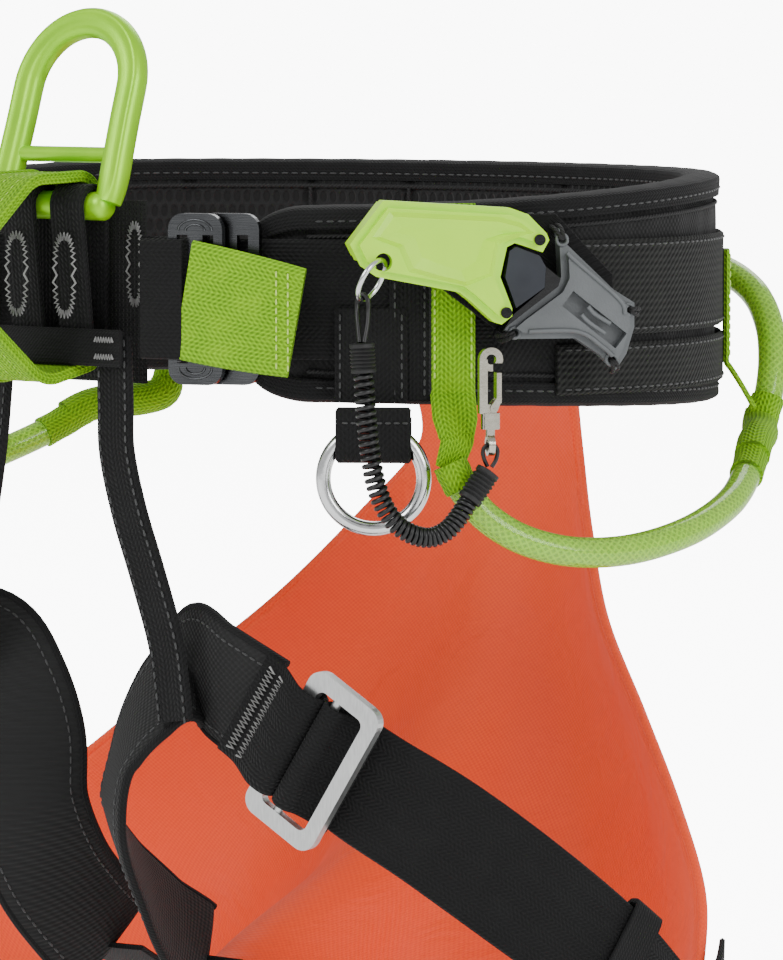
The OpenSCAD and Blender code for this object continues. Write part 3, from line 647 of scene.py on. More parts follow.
coarse_webbing = surface("coarse_grey_hip_webbing",
                         woven("#080808", "#262725", 2.6, 2.6, 60, 0.0009, fade="#31332F"))
hip_low = belt_bottom(68) + 4.5
hips = skin("hip_webbing_band", [
    belt_ribbon(60, 300, lambda a: 1.5, lambda a: 3.5, lambda a: 36, 2.2),
    belt_ribbon(68, 292, lambda a: 1.5, lambda a: (hip_low - 17.5) / 2,
                lambda a: -17.5 - hip_low, 2.2)],
    coarse_webbing, "root", ["waist_webbing", "hip_webbing"])
rows = []
for z in (-12.3, 19.3, -19.6, hip_low + 2.2):
    rows += stitches(belt_line(69, 291, lambda a: 2.75, lambda a: z), 4.0, 2.8)
skin("hip_band_stitching", rows, dark_thread, "root", (), 80)


def front_in(a):
    """The front webbing's offset: 8 mm inside the belt's line at the middle, 2 mm outside it
    where the pad starts."""
    return -8 + 10 * min(1, max(0, abs(a) - 6) / 18)


front = skin("front_load_webbing", [belt_ribbon(
    -58, 58, lambda a: front_in(a) + 1.1, lambda a: 0, lambda a: 45, 2.2)],
    black_webbing, "root", ["front_webbing"])

# ==== Tie-in ====
# Two upright webbing loops, bar-tacked with grey zigzag, hold the ring's lower bar in front
# of a stretch mesh panel; a cover band ties their feet together.

BAR_Y, BAR_Z, STRAP_R, STRAP_T = -149, 34, 8.3, 2.4
FOOT_Y, FOOT_Z, FOOT_R = BAR_Y + 8.3 - 5.2, -19, 5.2


def around(circles):
    """Points round the outside of a taut band over circles in the plane x = 0, as (y, z)."""
    pts = []
    for y, z, r in circles:
        for k in range(64):
            t = 2 * math.pi * k / 64
            pts.append((y + r * math.cos(t), z + r * math.sin(t)))
    pts = sorted(set(pts))

    def half(points):
        out = []
        for p in points:
            while len(out) > 1 and ((out[-1][0] - out[-2][0]) * (p[1] - out[-2][1])
                                    - (out[-1][1] - out[-2][1]) * (p[0] - out[-2][0])) <= 0:
                out.pop()
            out.append(p)
        return out[:-1]

    hull = half(pts) + half(pts[::-1])
    dense = []
    for a, b in zip(hull, hull[1:] + hull[:1]):
        n = max(1, int(math.dist(a, b) / 3.0))
        dense += [(a[0] + (b[0] - a[0]) * i / n, a[1] + (b[1] - a[1]) * i / n)
                  for i in range(n)]
    return dense


def band_loop(name, circles, x, width, thick, mat, stands_for):
    """A closed loop of webbing in a plane across x, as one skin whose ends meet."""
    line = around(circles)
    line = line + line[:2]
    path = [Vector((x, y, z)) * MM for y, z in line]
    mid_y = sum(c[0] for c in circles) / len(circles)
    mid_z = sum(c[1] for c in circles) / len(circles)
    rings = []
    n = len(path)
    for i in range(n - 1):
        d = (path[(i + 1) % (n - 2)] - path[(i - 1) % (n - 2)]).normalized()
        out = d.cross(Vector((1, 0, 0)))
        if out.dot(path[i] - Vector((x, mid_y, mid_z)) * MM) < 0:
            out = -out
        ring = []
        for px, py in ((-0.5, 0), (-0.47, 0.5), (-0.2, 0.5), (0.2, 0.5), (0.47, 0.5),
                       (0.5, 0), (0.47, -0.5), (0.2, -0.5), (-0.2, -0.5), (-0.47, -0.5)):
            ring.append(path[i] + (Vector((1, 0, 0)) * px * width + out * py * thick) * MM)
        rings.append(ring)
    return skin(name, [rings], mat, "root", stands_for, 60)


black_tie_webbing = surface("black_tie_in_webbing",
                            woven("#030303", "#151516", 1.8, 2.2, 4.0, 0.0006,
                                  fade="#1D1E1E"))
for side_x, tag in ((12, "left"), (-12, "right")):
    loop = band_loop(f"tie_in_loop_{tag}", [(BAR_Y, BAR_Z, STRAP_R - 1.2),
                                            (FOOT_Y, FOOT_Z, FOOT_R - 1.2)],
                     side_x, 16, STRAP_T, black_tie_webbing,
                     ["tie_in_straps"] if tag == "left" else ())


def stretch_mesh(mat):
    """Stretch mesh: fine knitted holes 1.9 mm apart in matt black yarn."""
    at = metres_uv(mat)
    cells = add(mat, "TexVoronoi", {"Vector": at, "Scale": 0.55, "Randomness": 0.15})
    holes = add(mat, "MapRange", {0: cells, 1: 0.2, 2: 0.45})
    fade = add(mat, "TexNoise", {"Vector": at, "Scale": 0.08, "Detail": 4.0})
    yarn = mix(mat, fade, "#070708", "#151616")
    tone = mix(mat, holes, "#010101", yarn)
    return {"Base Color": tone, "Roughness": 0.9, "Sheen Weight": 0.04, "height": holes,
            "relief": 0.0006}


black_stretch_mesh = surface("black_stretch_mesh", stretch_mesh)
panel_y = BAR_Y + 12.5 + 1.1
panel = skin("tie_in_mesh_panel", [ribbon(
    [Vector((0, panel_y, -33 + 69 * i / 16)) * MM for i in range(17)], (0, -1, 0), 68, 1.2,
    bow=0.4)], black_stretch_mesh, "root", ["tie_in_panel"])
foot_band = skin("tie_in_foot_band", [ribbon(
    [Vector((-36 + 72 * i / 24, -153.5 - 0.4 * math.cos(math.pi * (i - 12) / 12), -19)) * MM
     for i in range(25)], (0, -1, 0), 14, 2.0)], black_binding, "root", ["lower_tie_in"])


def zigzag(origin, along, over, out, long, wide, turns, r=0.42):
    """One bar tack: dense zigzag thread round a closed oval, long by wide mm."""
    path = []
    for i in range(turns * 4 + 1):
        t = 2 * math.pi * i / (turns * 4)
        swing = 1 + (1.3 if i % 2 else -1.3) / (wide / 2)
        x = math.copysign(abs(math.cos(t)) ** 0.7, math.cos(t)) * (wide / 2 - 1.3) * swing
        y = math.copysign(abs(math.sin(t)) ** 0.7, math.sin(t)) * (long / 2 - 1.3)
        y += (1.3 if i % 2 else -1.3) * math.sin(t) ** 3
        path.append(origin + (over * x + along * y + out * 0.1) * MM)
    return [round_rings(path, r * MM, 5)]


X, Y, Z = Vector((1, 0, 0)), Vector((0, 1, 0)), Vector((0, 0, 1))
tacks = []
for x in (-12, 12):
    front_y = BAR_Y - 8.5
    tacks += zigzag(Vector((x, front_y - 0.1, 8)) * MM, Z, X, -Y, 32, 12, 17)
for x in (-29, 29):
    for dz in (-3.2, 3.2):
        row = [Vector((x - 4.5 + 9 * k / 14, -155.0, -19 + dz + (0.8 if k % 2 else -0.8))) * MM
               for k in range(15)]
        tacks.append(round_rings(row, 0.42 * MM, 5))
    tacks += zigzag(Vector((x, panel_y - 1.4, 12)) * MM, Z, X, -Y, 32, 9, 16)
skin("tie_in_bar_tacks", tacks, grey_thread, "root", (), 80)

# The anchor ring is forged aluminium, anodised lime, with a flange round its outside and a
# rod through it; the belay loop is doubled lime webbing with a rolled edge each side.


def anodised(dark, light):
    """Anodised aluminium: satin bead-blasted lime with brighter rubbed edges."""
    def build(mat):
        place = add(mat, "TexCoord", out=3)
        grain = add(mat, "TexNoise", {"Vector": place, "Scale": 1600.0, "Detail": 3.0})
        patch = add(mat, "TexNoise", {"Vector": place, "Scale": 55.0, "Detail": 4.0})
        tone = mix(mat, patch, dark, light)
        scuff = add(mat, "TexNoise", {"Vector": place, "Scale": 320.0, "Detail": 6.0,
                                      "Roughness": 0.7})
        rubbed = add(mat, "MapRange", {0: scuff, 1: 0.62, 2: 0.75, 4: 0.45})
        worn = mix(mat, rubbed, tone, "#C2F03A")
        rough = add(mat, "MapRange", {0: patch, 3: 0.3, 4: 0.46})
        return {"Base Color": worn, "Metallic": 0.45, "Roughness": rough, "height": grain,
                "relief": 0.00006}
    return build


lime_anodised = surface("lime_anodised_aluminium", anodised("#86D000", "#A8EA00"))


def finish_node(node, mat):
    """Gives a hard piece from the frame its real finish."""
    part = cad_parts[node]
    part.data.materials.clear()
    part.data.materials.append(mat)


finish_node("anchor_ring_rod", lime_anodised)

lean = Matrix.Rotation(math.radians(-18), 4, "X")


def ring_pt(x, y, z):
    """A point in the anchor ring's own leaning frame, in mm from its bar."""
    return (lean @ Vector((x, y, z)) + Vector((0, BAR_Y, BAR_Z))) * MM


ARCH_R, ARCH_Z, LEG_X = 25.5, 84 - 5.5 - 6.5 - 25.5, 25.8
spine = [(-LEG_X, 1.5), (-LEG_X - 0.6, 8), (-LEG_X - 0.2, 20), (-25.6, 34)]
spine += [(-ARCH_R * math.cos(t), ARCH_Z + ARCH_R * math.sin(t))
          for t in [math.pi * k / 16 for k in range(17)]]
spine += [(-x, z) for x, z in spine[3::-1]]
ring_line = smooth([ring_pt(x, 0, z) for x, z in spine], 6)
across_ring = ring_pt(0, 1, 0) - ring_pt(0, 0, 0)
rings = []
for k, (p, d) in enumerate(zip(ring_line, tangents(ring_line))):
    t = k / (len(ring_line) - 1)
    y = across_ring.normalized()
    out = y.cross(d)
    if out.dot(p - ring_pt(0, 0, 34)) < 0:
        out = -out
    foot = min(1, min(t, 1 - t) / 0.06)
    wide, deep = 5.2 + 0.6 * foot, 4.4 + 0.3 * foot
    ring = []
    for m in range(28):
        a = 2 * math.pi * m / 28
        x, h = math.cos(a), math.sin(a)
        body_x = math.copysign(abs(x) ** 0.85, x) * wide
        body_y = math.copysign(abs(h) ** 0.85, h) * deep
        body_y *= 1 + 0.16 * foot * math.exp(-(((x - 0.72) / 0.2) ** 2))
        body_y *= 1 - 0.2 * foot * math.exp(-(((x - 0.15) / 0.3) ** 2))
        ring.append(p + (out * body_x + y * body_y) * MM)
    rings.append(ring)
bar_line = [ring_pt(-27 + 54 * k / 24, 0, 0) for k in range(25)]


def bar_radius(t):
    return (5.4 if 0.04 < t < 0.96 else 3.6) * MM


forging = skin("anchor_ring_forging", [rings, round_rings(bar_line, bar_radius, 28)],
               lime_anodised, "anchor", ["anchor_ring"], 60)

lime_webbing = surface("lime_nylon_webbing",
                       woven("#4C7C00", "#8FCB00", 1.6, 2.2, 4.5, 0.0006, fade="#A6DA00",
                             fade_scale=0.08))
belay = band_loop("belay_webbing_loop", [
    (BAR_Y, BAR_Z, 12.5 - 1.8), (BAR_Y - 20, BAR_Z - 6, 18 - 1.8),
    (BAR_Y - 58 + 26, 8, 26 - 1.8), (BAR_Y - 16, -12, 20 - 1.8),
    (FOOT_Y, FOOT_Z, 5.2 + 0.6 + 3.6 - 1.8)], 0, 27, 3.6, lime_webbing, ["belay_loop"])
edge_lines = []
belay_line = around([(BAR_Y, BAR_Z, 12.2), (BAR_Y - 20, BAR_Z - 6, 17.7),
                     (BAR_Y - 58 + 26, 8, 25.7), (BAR_Y - 16, -12, 19.7),
                     (FOOT_Y, FOOT_Z, 9.1)])
for x in (-12.3, 12.3):
    path = [Vector((x, y, z)) * MM for y, z in belay_line + belay_line[:1]]
    edge_lines.append(round_rings(path, 1.15 * MM, 8))
skin("belay_loop_selvedge", edge_lines, lime_webbing, "root", (), 80)
rows = []
for x in (-6.5, 0, 6.5):
    rows += stitches([Vector((x, y, z)) * MM for y, z in belay_line], 3.6, 2.5)
lime_thread = surface("pale_lime_thread", thread_finish(("#9CC72A", "#D3F27A")))
skin("belay_loop_stitching", rows, lime_thread, "root", (), 80)

# ==== Belt buckles ====
# A double-plate quick buckle each side of the tie-in: stamped aluminium, polished to a dark
# gunmetal shine. The webbing folds over the front plate and its lime tail runs back.


def gunmetal(mat):
    """Polished aluminium with a dark clear anodise: mirror-like, finely brushed along X."""
    place = add(mat, "TexCoord", out=3)
    fine = add(mat, "VectorMath", {0: place, 1: (120, 120, 2600)}, operation="MULTIPLY")
    brush = add(mat, "TexNoise", {"Vector": fine, "Scale": 1.0, "Detail": 4.0})
    cloud = add(mat, "TexNoise", {"Vector": place, "Scale": 70.0, "Detail": 3.0})
    tone = mix(mat, cloud, "#3C3D3F", "#626466")
    rough = add(mat, "MapRange", {0: brush, 3: 0.14, 4: 0.34})
    return {"Base Color": tone, "Metallic": 1.0, "Roughness": rough, "height": brush,
            "relief": 0.00004}


gunmetal_plate = surface("polished_gunmetal_aluminium", gunmetal)
for side_name in ("left", "right"):
    for node in (f"buckle_front_plate_{side_name}", f"buckle_rear_plate_{side_name}"):
        finish_node(node, gunmetal_plate)
FOLD_OFF = 3.6 + 3 + 2.2 + 3 + 3.2


def to_side(rings, flip):
    """Rings made for the wearer's left, kept there when flip is 1 or mirrored when it is -1."""
    return [[Vector((p[0] * flip, p[1], p[2])) for p in r] for r in rings]


for flip, side_name in ((1, "left"), (-1, "right")):
    fold = skin(f"buckle_webbing_fold_{side_name}", [to_side(belt_ribbon(
        13.5, 18.8, lambda a: FOLD_OFF + 1.1 - 0.05 * (a - 16) ** 2, lambda a: 0,
        lambda a: 45, 2.2, 0.5), flip)], black_webbing, "root", [f"buckle_fold_{side_name}"])
    tail = skin(f"webbing_tail_{side_name}", [to_side(belt_ribbon(
        19, 33, lambda a: FOLD_OFF + 0.6 + (a - 19) / 7, lambda a: -8 * (a - 19) / 14,
        lambda a: 45 - 0.02 * (a - 19) ** 2, 2.2, 0.6), flip)], lime_webbing, "root",
        [f"tail_{side_name}"])
    ends = []
    for a in (30.6, 32.0):
        line = [waist(a, FOLD_OFF + 2.0 + (a - 19) / 7, -8 * (a - 19) / 14 + z)
                for z in range(-19, 20, 2)]
        ends += stitches(line, 3.4, 2.4)
    skin(f"tail_stitching_{side_name}", [to_side(r, flip) for r in ends], lime_thread, "root",
         (), 80)
    arcs = []
    for top in (1, -1):
        for r in (3.2, 5.6):
            path = [waist(20 + r * math.cos(t) / 2.6, 13.0,
                          top * (25.5 + r * math.sin(t) * 0.75))
                    for t in [math.pi * k / 10 for k in range(11)]]
            arcs.append(round_rings(to_side([path], flip)[0], 0.45 * MM, 6))
    embossed = skin(f"buckle_raised_arcs_{side_name}", arcs, gunmetal_plate,
                    f"buckle_{side_name}", (), 80)

# ==== Side fittings ====
# Each accessory ring is welded, polished steel in a folded webbing hanger. A gear loop is
# clear vinyl tube over a braided lime rope core, sewn between lime webbing tabs.


def polished(dark, light, fine):
    """Polished steel: mirror bright, with hairline marks from handling."""
    def build(mat):
        place = add(mat, "TexCoord", out=3)
        marks = add(mat, "TexNoise", {"Vector": place, "Scale": fine, "Detail": 6.0,
                                      "Roughness": 0.7})
        tone = mix(mat, marks, dark, light)
        rough = add(mat, "MapRange", {0: marks, 1: 0.3, 2: 0.7, 3: 0.1, 4: 0.26})
        return {"Base Color": tone, "Metallic": 1.0, "Roughness": rough, "height": marks,
                "relief": 0.00004}
    return build


bright_steel = surface("bright_polished_steel", polished("#C4C6C7", "#EDEEEE", 300.0))
for side_name in ("left", "right"):
    finish_node(f"accessory_ring_{side_name}", bright_steel)


def on_belt(a, off, x, y, z=0.0):
    """A point in the flat frame that touches the belt at angle a: x along it, y up and z
    outward, in mm."""
    o = out_dir(a)
    along = Vector((-o.y, o.x, 0))
    return (waist(a, off, 0) + (along * x + Vector((0, 0, y)) + o * z) * MM)


HANG_OFF, HANG_Z = 5, -40
for flip, side_name in ((1, "left"), (-1, "right")):
    loop = [(HANG_Z - 1, 9.2), (HANG_Z - 0.4, 5.1), (HANG_Z - 1, 1.0)]
    down = [(HANG_Z - 1 - 2.4 * i, 1.0) for i in range(1, 6)]
    turn = [(-59.2 - 4.1 * math.sin(t) + 4.0, 5.1 - 4.1 * math.cos(t))
            for t in [math.pi * k / 8 for k in range(1, 8)]]
    up = [(HANG_Z - 13 + 2.4 * i, 9.2) for i in range(0, 5)]
    path = [on_belt(42, HANG_OFF, 0, y, z) for y, z in down + turn + up + loop[:2]]
    mid = on_belt(42, HANG_OFF, 0, -50, 5.1)
    strap = skin(f"accessory_ring_hanger_{side_name}", [to_side(ribbon(
        path, lambda p, t: p - Vector((mid.x, mid.y, p.z if -0.0535 < p.z < -0.043
                                       else mid.z)), 28, 2.0), flip)],
        black_webbing, f"hanger_{side_name}", [f"ring_hanger_{side_name}"])
    line = [on_belt(42, HANG_OFF, -12 + 24 * i / 8, HANG_Z - 5, 10.3) for i in range(9)]
    skin(f"hanger_stitching_{side_name}", [to_side(r, flip) for r in stitches(line, 3.2, 2.2)],
         dark_thread, f"hanger_{side_name}", (), 80)


# Overlay straps stitched down above each hanger, with a coated zip edge beside them.
overlays, rows, zips = [], [], []
for flip in (1, -1):
    for a, width, off, low, high in ((41.6, 27, 4.9, -38, -3), (46.6, 15, 4.4, -37, 16)):
        path = [on_belt(a, off, 0, low + (high - low) * i / 10,
                        0.7 + 0.5 * math.sin(math.pi * i / 10)) for i in range(11)]
        rings = ribbon(path, out_dir(a), width, 1.5, bow=-0.4)
        overlays.append(to_side(rings, flip))
        for x in (-width / 2 + 2, width / 2 - 2):
            line = [on_belt(a, off, x, z, 1.75) for z in range(low + 1, high, 2)]
            rows += [to_side(s, flip) for s in stitches(line, 3.6, 2.5)]
    edge = [on_belt(49.4, 4.4, 0, -35 + 50 * i / 12, 0.9) for i in range(13)]
    zips.append(to_side(round_rings(edge, 1.1 * MM, 10), flip))
overlay = skin("hanger_overlay_straps", overlays, black_webbing, "root")
skin("overlay_stitching", rows, dark_thread, "root", (), 80)
zip_edge = surface("grey_coated_zip_edge", piping)
zipper = skin("overlay_zip_edge", zips, zip_edge, "root", (), 80)


def clear_vinyl(mat):
    """Clear vinyl tube, slightly green from the rope behind it, with a wet shine."""
    haze = add(mat, "TexNoise", {"Vector": add(mat, "TexCoord", out=3), "Scale": 60.0,
                                 "Detail": 2.0})
    tone = mix(mat, haze, "#D9FF7A", "#ECFFB8")
    rough = add(mat, "MapRange", {0: haze, 3: 0.05, 4: 0.22})
    return {"Base Color": tone, "Roughness": rough, "Transmission Weight": 0.92, "IOR": 1.42,
            "height": haze, "relief": 0.0001}


def braided_rope(mat):
    """Braided polyester rope: lime strands crossing both ways, 3 mm apart."""
    at = metres_uv(mat)
    split = add(mat, "SeparateXYZ", {0: at}).node
    crossing = []
    for way in (1.0, -1.0):
        turned = calc(mat, "MULTIPLY", split.outputs[1], way * 1.1)
        run = calc(mat, "ADD", split.outputs[0], turned)
        crossing.append(calc(mat, "SINE", calc(mat, "MULTIPLY", run, 2 * math.pi / 3)))
    high = calc(mat, "MAXIMUM", crossing[0], crossing[1])
    height = add(mat, "MapRange", {0: high, 1: -0.6, 2: 1.0})
    tone = mix(mat, height, "#98D400", "#D2FF3C")
    return {"Base Color": tone, "Roughness": 0.7, "Sheen Weight": 0.2, "height": height,
            "relief": 0.0004}


vinyl = surface("clear_vinyl_tube", clear_vinyl)
rope = surface("lime_braided_rope", braided_rope)
front_route = [(51.5, 15, -60), (53, 16, -69), (56, 17, -80), (61, 18, -89), (68, 18, -94),
               (77, 18, -94), (88, 17, -89), (99, 16, -81), (108, 15, -72), (115, 15, -62)]
rear_route = [(127, 19, -56), (128, 23, -46), (130, 26, -32), (133, 27, -18), (138, 26, -6),
              (144, 22, 2), (151, 18, 5), (158, 15, 3), (163, 14, -5)]
for flip, side_name, s in ((1, "left", "l"), (-1, "right", "r")):
    for route, place, body in ((front_route, "front", "gear_f" + s),
                               (rear_route, "rear", "gear_r" + s)):
        line = smooth([waist(*p) for p in route], 8)
        outer = skin(f"gear_tube_{place}_{side_name}_skin",
                     [to_side(round_rings(line, 5.75 * MM, 24), flip)], vinyl, body,
                     [f"gear_tube_{place}_{side_name}"], 60)
        core = skin(f"gear_rope_{place}_{side_name}",
                    [to_side(round_rings(line, 4.3 * MM, 20), flip)], rope, body,
                    [f"gear_core_{place}_{side_name}"], 60)
        caps = []
        for end in (line[:9], line[-9:]):
            caps.append(to_side(round_rings(
                end, lambda t: (6.6 + 0.12 * math.cos(t * 14)) * MM, 24), flip))
        sleeves = skin(f"gear_loop_sleeves_{place}_{side_name}", caps, lime_webbing, body,
                       (), 60)

# Lime webbing tabs: the front one runs up the pad as a plain stripe, and both reach out
# below the belt to hold the gear loops.
tabs, rows = [], []
for flip in (1, -1):
    for a, off, low, bend, width in ((52.3, 4.5, -52, -34, 17), (120.5, 4, -48, -30, 20)):
        high, base = (36, 1.1) if a < 60 else (14, -0.2)
        pts = [on_belt(a, off, 0, z, base) for z in range(high, bend + 3, -8)]
        pts += [on_belt(a, off, 0, bend + (low - bend) * i / 8, base + 11 * i / 8 + 0.4 *
                        math.sin(math.pi * i / 8)) for i in range(9)]
        if a < 60:
            pts += [on_belt(a, off, -1.5, low - 5, 12.0), on_belt(a, off, -3, low - 10, 11.0)]
        o = out_dir(a)
        rings = ribbon(smooth(pts, 3), o, lambda t, w=width: w - (7.0 * (t - 0.7) / 0.3
                                                                 if t > 0.7 else 0), 2.2)
        tabs.append(to_side(rings, flip))
        for x in (-width / 2 + 1.6, width / 2 - 1.6):
            line = [on_belt(a, off, x, z, base + 1.2) for z in range(high - 1, bend + 2, -2)]
            rows += [to_side(s, flip) for s in stitches(line, 3.4, 2.4)]
for flip in (1, -1):
    seat_end = smooth([waist(163, off, z) for off, z in (
        (3.6, 20), (3.6, 10), (5, 3), (9, -1), (14, -4), (16.5, -9))], 5)
    tabs.append(to_side(ribbon(seat_end, out_dir(163), 15, 2.0), flip))
gear_tabs = skin("gear_loop_tabs", tabs, lime_webbing, "root",
                 ["gear_tab_front", "gear_tab_rear"])
# A soft boot of the same webbing joins each front loop to the rear one behind it: two
# halves, riding on no body, that meet where the tab holds them.
boot = smooth([waist(*q) for q in ((112, 15.3, -65.5), (115, 15.5, -61.5), (118.5, 16.5, -59.5),
                                   (123, 18, -59), (126.6, 19, -56.5), (127.4, 20.5, -52))], 5)
HELD, FRONT_END, REAR_END = 12, 5, 20
for flip, side_name, s in ((1, "left", "l"), (-1, "right", "r")):
    line = to_side([boot], flip)[0]
    for place, part, end in (("front", line[:HELD + 1], FRONT_END),
                             ("rear", line[HELD:], REAR_END)):
        half = skin(f"gear_loop_boot_{place}_{side_name}", [round_rings(part, 7.1 * MM, 20)],
                    lime_webbing, None, (), 60)
        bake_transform(half)
skin("gear_tab_stitching", rows, lime_thread, "root", (), 80)

# ==== Hand tool and dock ====
# The tool's shells are moulded glass-filled nylon, painted lime, round a smoky insert; it
# snaps by magnets to a grey nylon dock that is lashed to a webbing backer.


def painted_nylon(mat):
    """Lime enamel on moulded nylon: even, satin, with rubbed high spots and fine orange peel."""
    place = add(mat, "TexCoord", out=3)
    peel = add(mat, "TexNoise", {"Vector": place, "Scale": 700.0, "Detail": 2.0})
    cloud = add(mat, "TexNoise", {"Vector": place, "Scale": 40.0, "Detail": 4.0})
    tone = mix(mat, cloud, "#A6E600", "#BEF600")
    rough = add(mat, "MapRange", {0: cloud, 3: 0.3, 4: 0.44})
    return {"Base Color": tone, "Roughness": rough, "Coat Weight": 0.08,
            "Coat Roughness": 0.2, "height": peel, "relief": 0.00005}


def moulded(dark, light, rough_low, rough_high, grain, relief):
    """Injection-moulded plastic with a spark-eroded grain, a little lighter where handled."""
    def build(mat):
        place = add(mat, "TexCoord", out=3)
        pits = add(mat, "TexNoise", {"Vector": place, "Scale": grain, "Detail": 4.0})
        cloud = add(mat, "TexNoise", {"Vector": place, "Scale": 60.0, "Detail": 5.0})
        tone = mix(mat, cloud, dark, light)
        rough = add(mat, "MapRange", {0: pits, 3: rough_low, 4: rough_high})
        return {"Base Color": tone, "Roughness": rough, "height": pits, "relief": relief}
    return build


lime_shell = surface("lime_painted_nylon", painted_nylon)
grey_nylon = surface("grey_grained_nylon", moulded("#434648", "#65696B", 0.36, 0.56, 1100.0,
                                                   0.0001))
gloss_nylon = surface("gloss_black_nylon", moulded("#050506", "#131416", 0.1, 0.2, 200.0,
                                                   0.00004))
smoky_nylon = surface("smoky_translucent_nylon", moulded("#15181F", "#2C313A", 0.14, 0.26,
                                                         150.0, 0.00005))
dark_screw = surface("black_oxide_screw_steel", polished("#1C1C1D", "#3C3D3E", 500.0))
plain_steel = surface("nickel_plated_steel", polished("#9E9A8C", "#CFCBBE", 400.0))
for node, mat in [("handle_shell", lime_shell), ("handle_back", lime_shell),
                  ("handle_lens", smoky_nylon), ("handle_screws", dark_screw),
                  ("handle_magnet", plain_steel), ("dock_magnet", plain_steel),
                  ("dock_plate", grey_nylon), ("dock_frame", gloss_nylon),
                  ("split_ring", bright_steel), ("snap_eye", plain_steel),
                  ("snap_body", plain_steel), ("snap_gate", plain_steel)]:
    finish_node(node, mat)

backer_shape = [(-20, 17), (24, 17), (46, -6), (46, -28), (4, -28), (-20, -10)]
backer = []
for n in (-5.6, -5.2, -3.5, -3.1):
    shrink = 0.985 if n in (-5.6, -3.1) else 1.0
    backer.append([tool_pt(13 + (u - 13) * shrink, -5 + (v + 5) * shrink, n)
                   for u, v in backer_shape])
backing = skin("dock_backer_webbing", [backer], black_webbing, "root", ["dock_backer"], 30)


def raised(name, loops, n, radius, mat, body, closed=True):
    """Moulded ridges: round beads along outlines on a face n mm out in the tool's plane."""
    tubes = []
    for loop in loops:
        pts = [tool_pt(u, v, n) for u, v in loop]
        path = pts + pts[:1] if closed else smooth(pts, 4)
        dense = []
        for a, b in zip(path, path[1:]):
            dense += [a.lerp(b, i / 4) for i in range(4)]
        tubes.append(round_rings(dense + [path[-1]], radius * MM, 8))
    return skin(name, tubes, mat, body, (), 80)


facets = [[(-51, 9.5), (-44, 19.5), (-2, 17.2), (6, 14.8), (11.5, 10.6), (3, 8.6), (-2.5, 6.5),
           (-4.5, -5), (-15, -9), (-27, -6.2), (-37, -3.4), (-41, 5.5)],
          [(-48, 9.9), (-42.6, 17.2), (-3, 15.0), (4.5, 13.0), (7, 11.4), (1, 10.3),
           (-4.6, 7.6), (-6.8, -3.9), (-15.6, -6.9), (-26.5, -4.2), (-35.2, -1.6), (-39, 6.8)],
          [(-41, 11.4), (-39, 13.2), (-5, 11.4), (-1, 11.0), (-1, 10.6), (-3, 10.1),
           (-8.6, 8.3), (-11.5, 0.5), (-17, -2.9), (-25.8, -0.2), (-31.6, 2.2), (-34.4, 9.6)]]
ridges = skin("handle_facets", [[[tool_pt(u, v, n) for u, v in loop] for loop, n in
                                 zip(facets, (17.4, 20.0, 18.3))]], lime_shell, "tool", (), 12)
dock_ridges = raised("dock_ridges", [
    [(25.5, 3), (28.5, 0), (45.5, -14.5), (47.5, -20)], [(11, -26), (29.5, -26.2),
                                                         (39, -32), (43, -35.5)],
    [(33.5, -17), (36, -19.8), (42, -23.5)], [(31, -20), (34, -23), (40, -27)]],
    8.1, 0.9, grey_nylon, "root", False)
eyelets = []
lashing = []
for u, v in [(24.2, 7.6), (49.6, -18.5), (43.2, -37), (6.2, -26.6)]:
    ring = [tool_pt(u + 2.0 * math.cos(t), v + 2.0 * math.sin(t), 5.2)
            for t in [2 * math.pi * k / 20 for k in range(21)]]
    eyelets.append(round_rings(ring, 0.7 * MM, 8))
    cx, cy = 30 - u, -14 - v
    n = math.hypot(cx, cy)
    du, dv = -cx / n, -cy / n
    for twist in (-1.1, 1.1):
        lashing.append(round_rings(smooth([
            tool_pt(u, v, 3.5), tool_pt(u + du * 1.2 + twist * dv * 0.5,
                                        v + dv * 1.2 - twist * du * 0.5, 6.4),
            tool_pt(u + du * 4.4 + twist * dv, v + dv * 4.4 - twist * du, 3.0),
            tool_pt(u + du * 5.2 + twist * dv, v + dv * 5.2 - twist * du, -2.9)], 6),
            0.85 * MM, 8))
dock_eyelets = skin("dock_eyelets", eyelets, grey_nylon, "root", (), 80)
dock_cord = skin("dock_lashing_cord", lashing, black_piping, "root", (), 80)

# ==== Leg loops ====
# Each riser is a stitched black tape down to a padded band of pack cloth round the inner
# thigh; 45 mm webbing runs from a satin cast buckle round the outside to the seat.

LEG_MID = Vector((104, -48, 0)) * MM


def away(p, t=0):
    """Straight out from the middle of the thigh, in plan."""
    return Vector((p.x - LEG_MID.x, p.y - LEG_MID.y, 0)).normalized()


def both(rings):
    """The same rings on the wearer's right."""
    return to_side(rings, -1)


riser_route = [Vector(p) * MM for p in [
    (29.2, -149, -15), (30.6, -150, -40), (32, -151, -58), (37, -150, -80), (45, -148.6, -104),
    (53, -148, -128), (57, -149, -146), (59, -149.6, -158)]]
riser_line = smooth(riser_route, 8)


def tube_tape(path, facing, width, thick):
    """A flat tubular tape with full round edges and a shallow channel down its middle."""
    rings = []
    for p, d in zip(path, tangents(path)):
        over = d.cross(facing).normalized()
        n = over.cross(d)
        ring = []
        for k in range(20):
            t = 2 * math.pi * k / 20
            x = math.copysign(abs(math.cos(t)) ** 0.6, math.cos(t)) * width / 2
            y = math.copysign(abs(math.sin(t)) ** 0.6, math.sin(t)) * thick / 2
            y *= 1 - 0.25 * math.exp(-((x / 2.0) ** 2))
            ring.append(p + (over * x + n * y) * MM)
        rings.append(ring)
    return rings


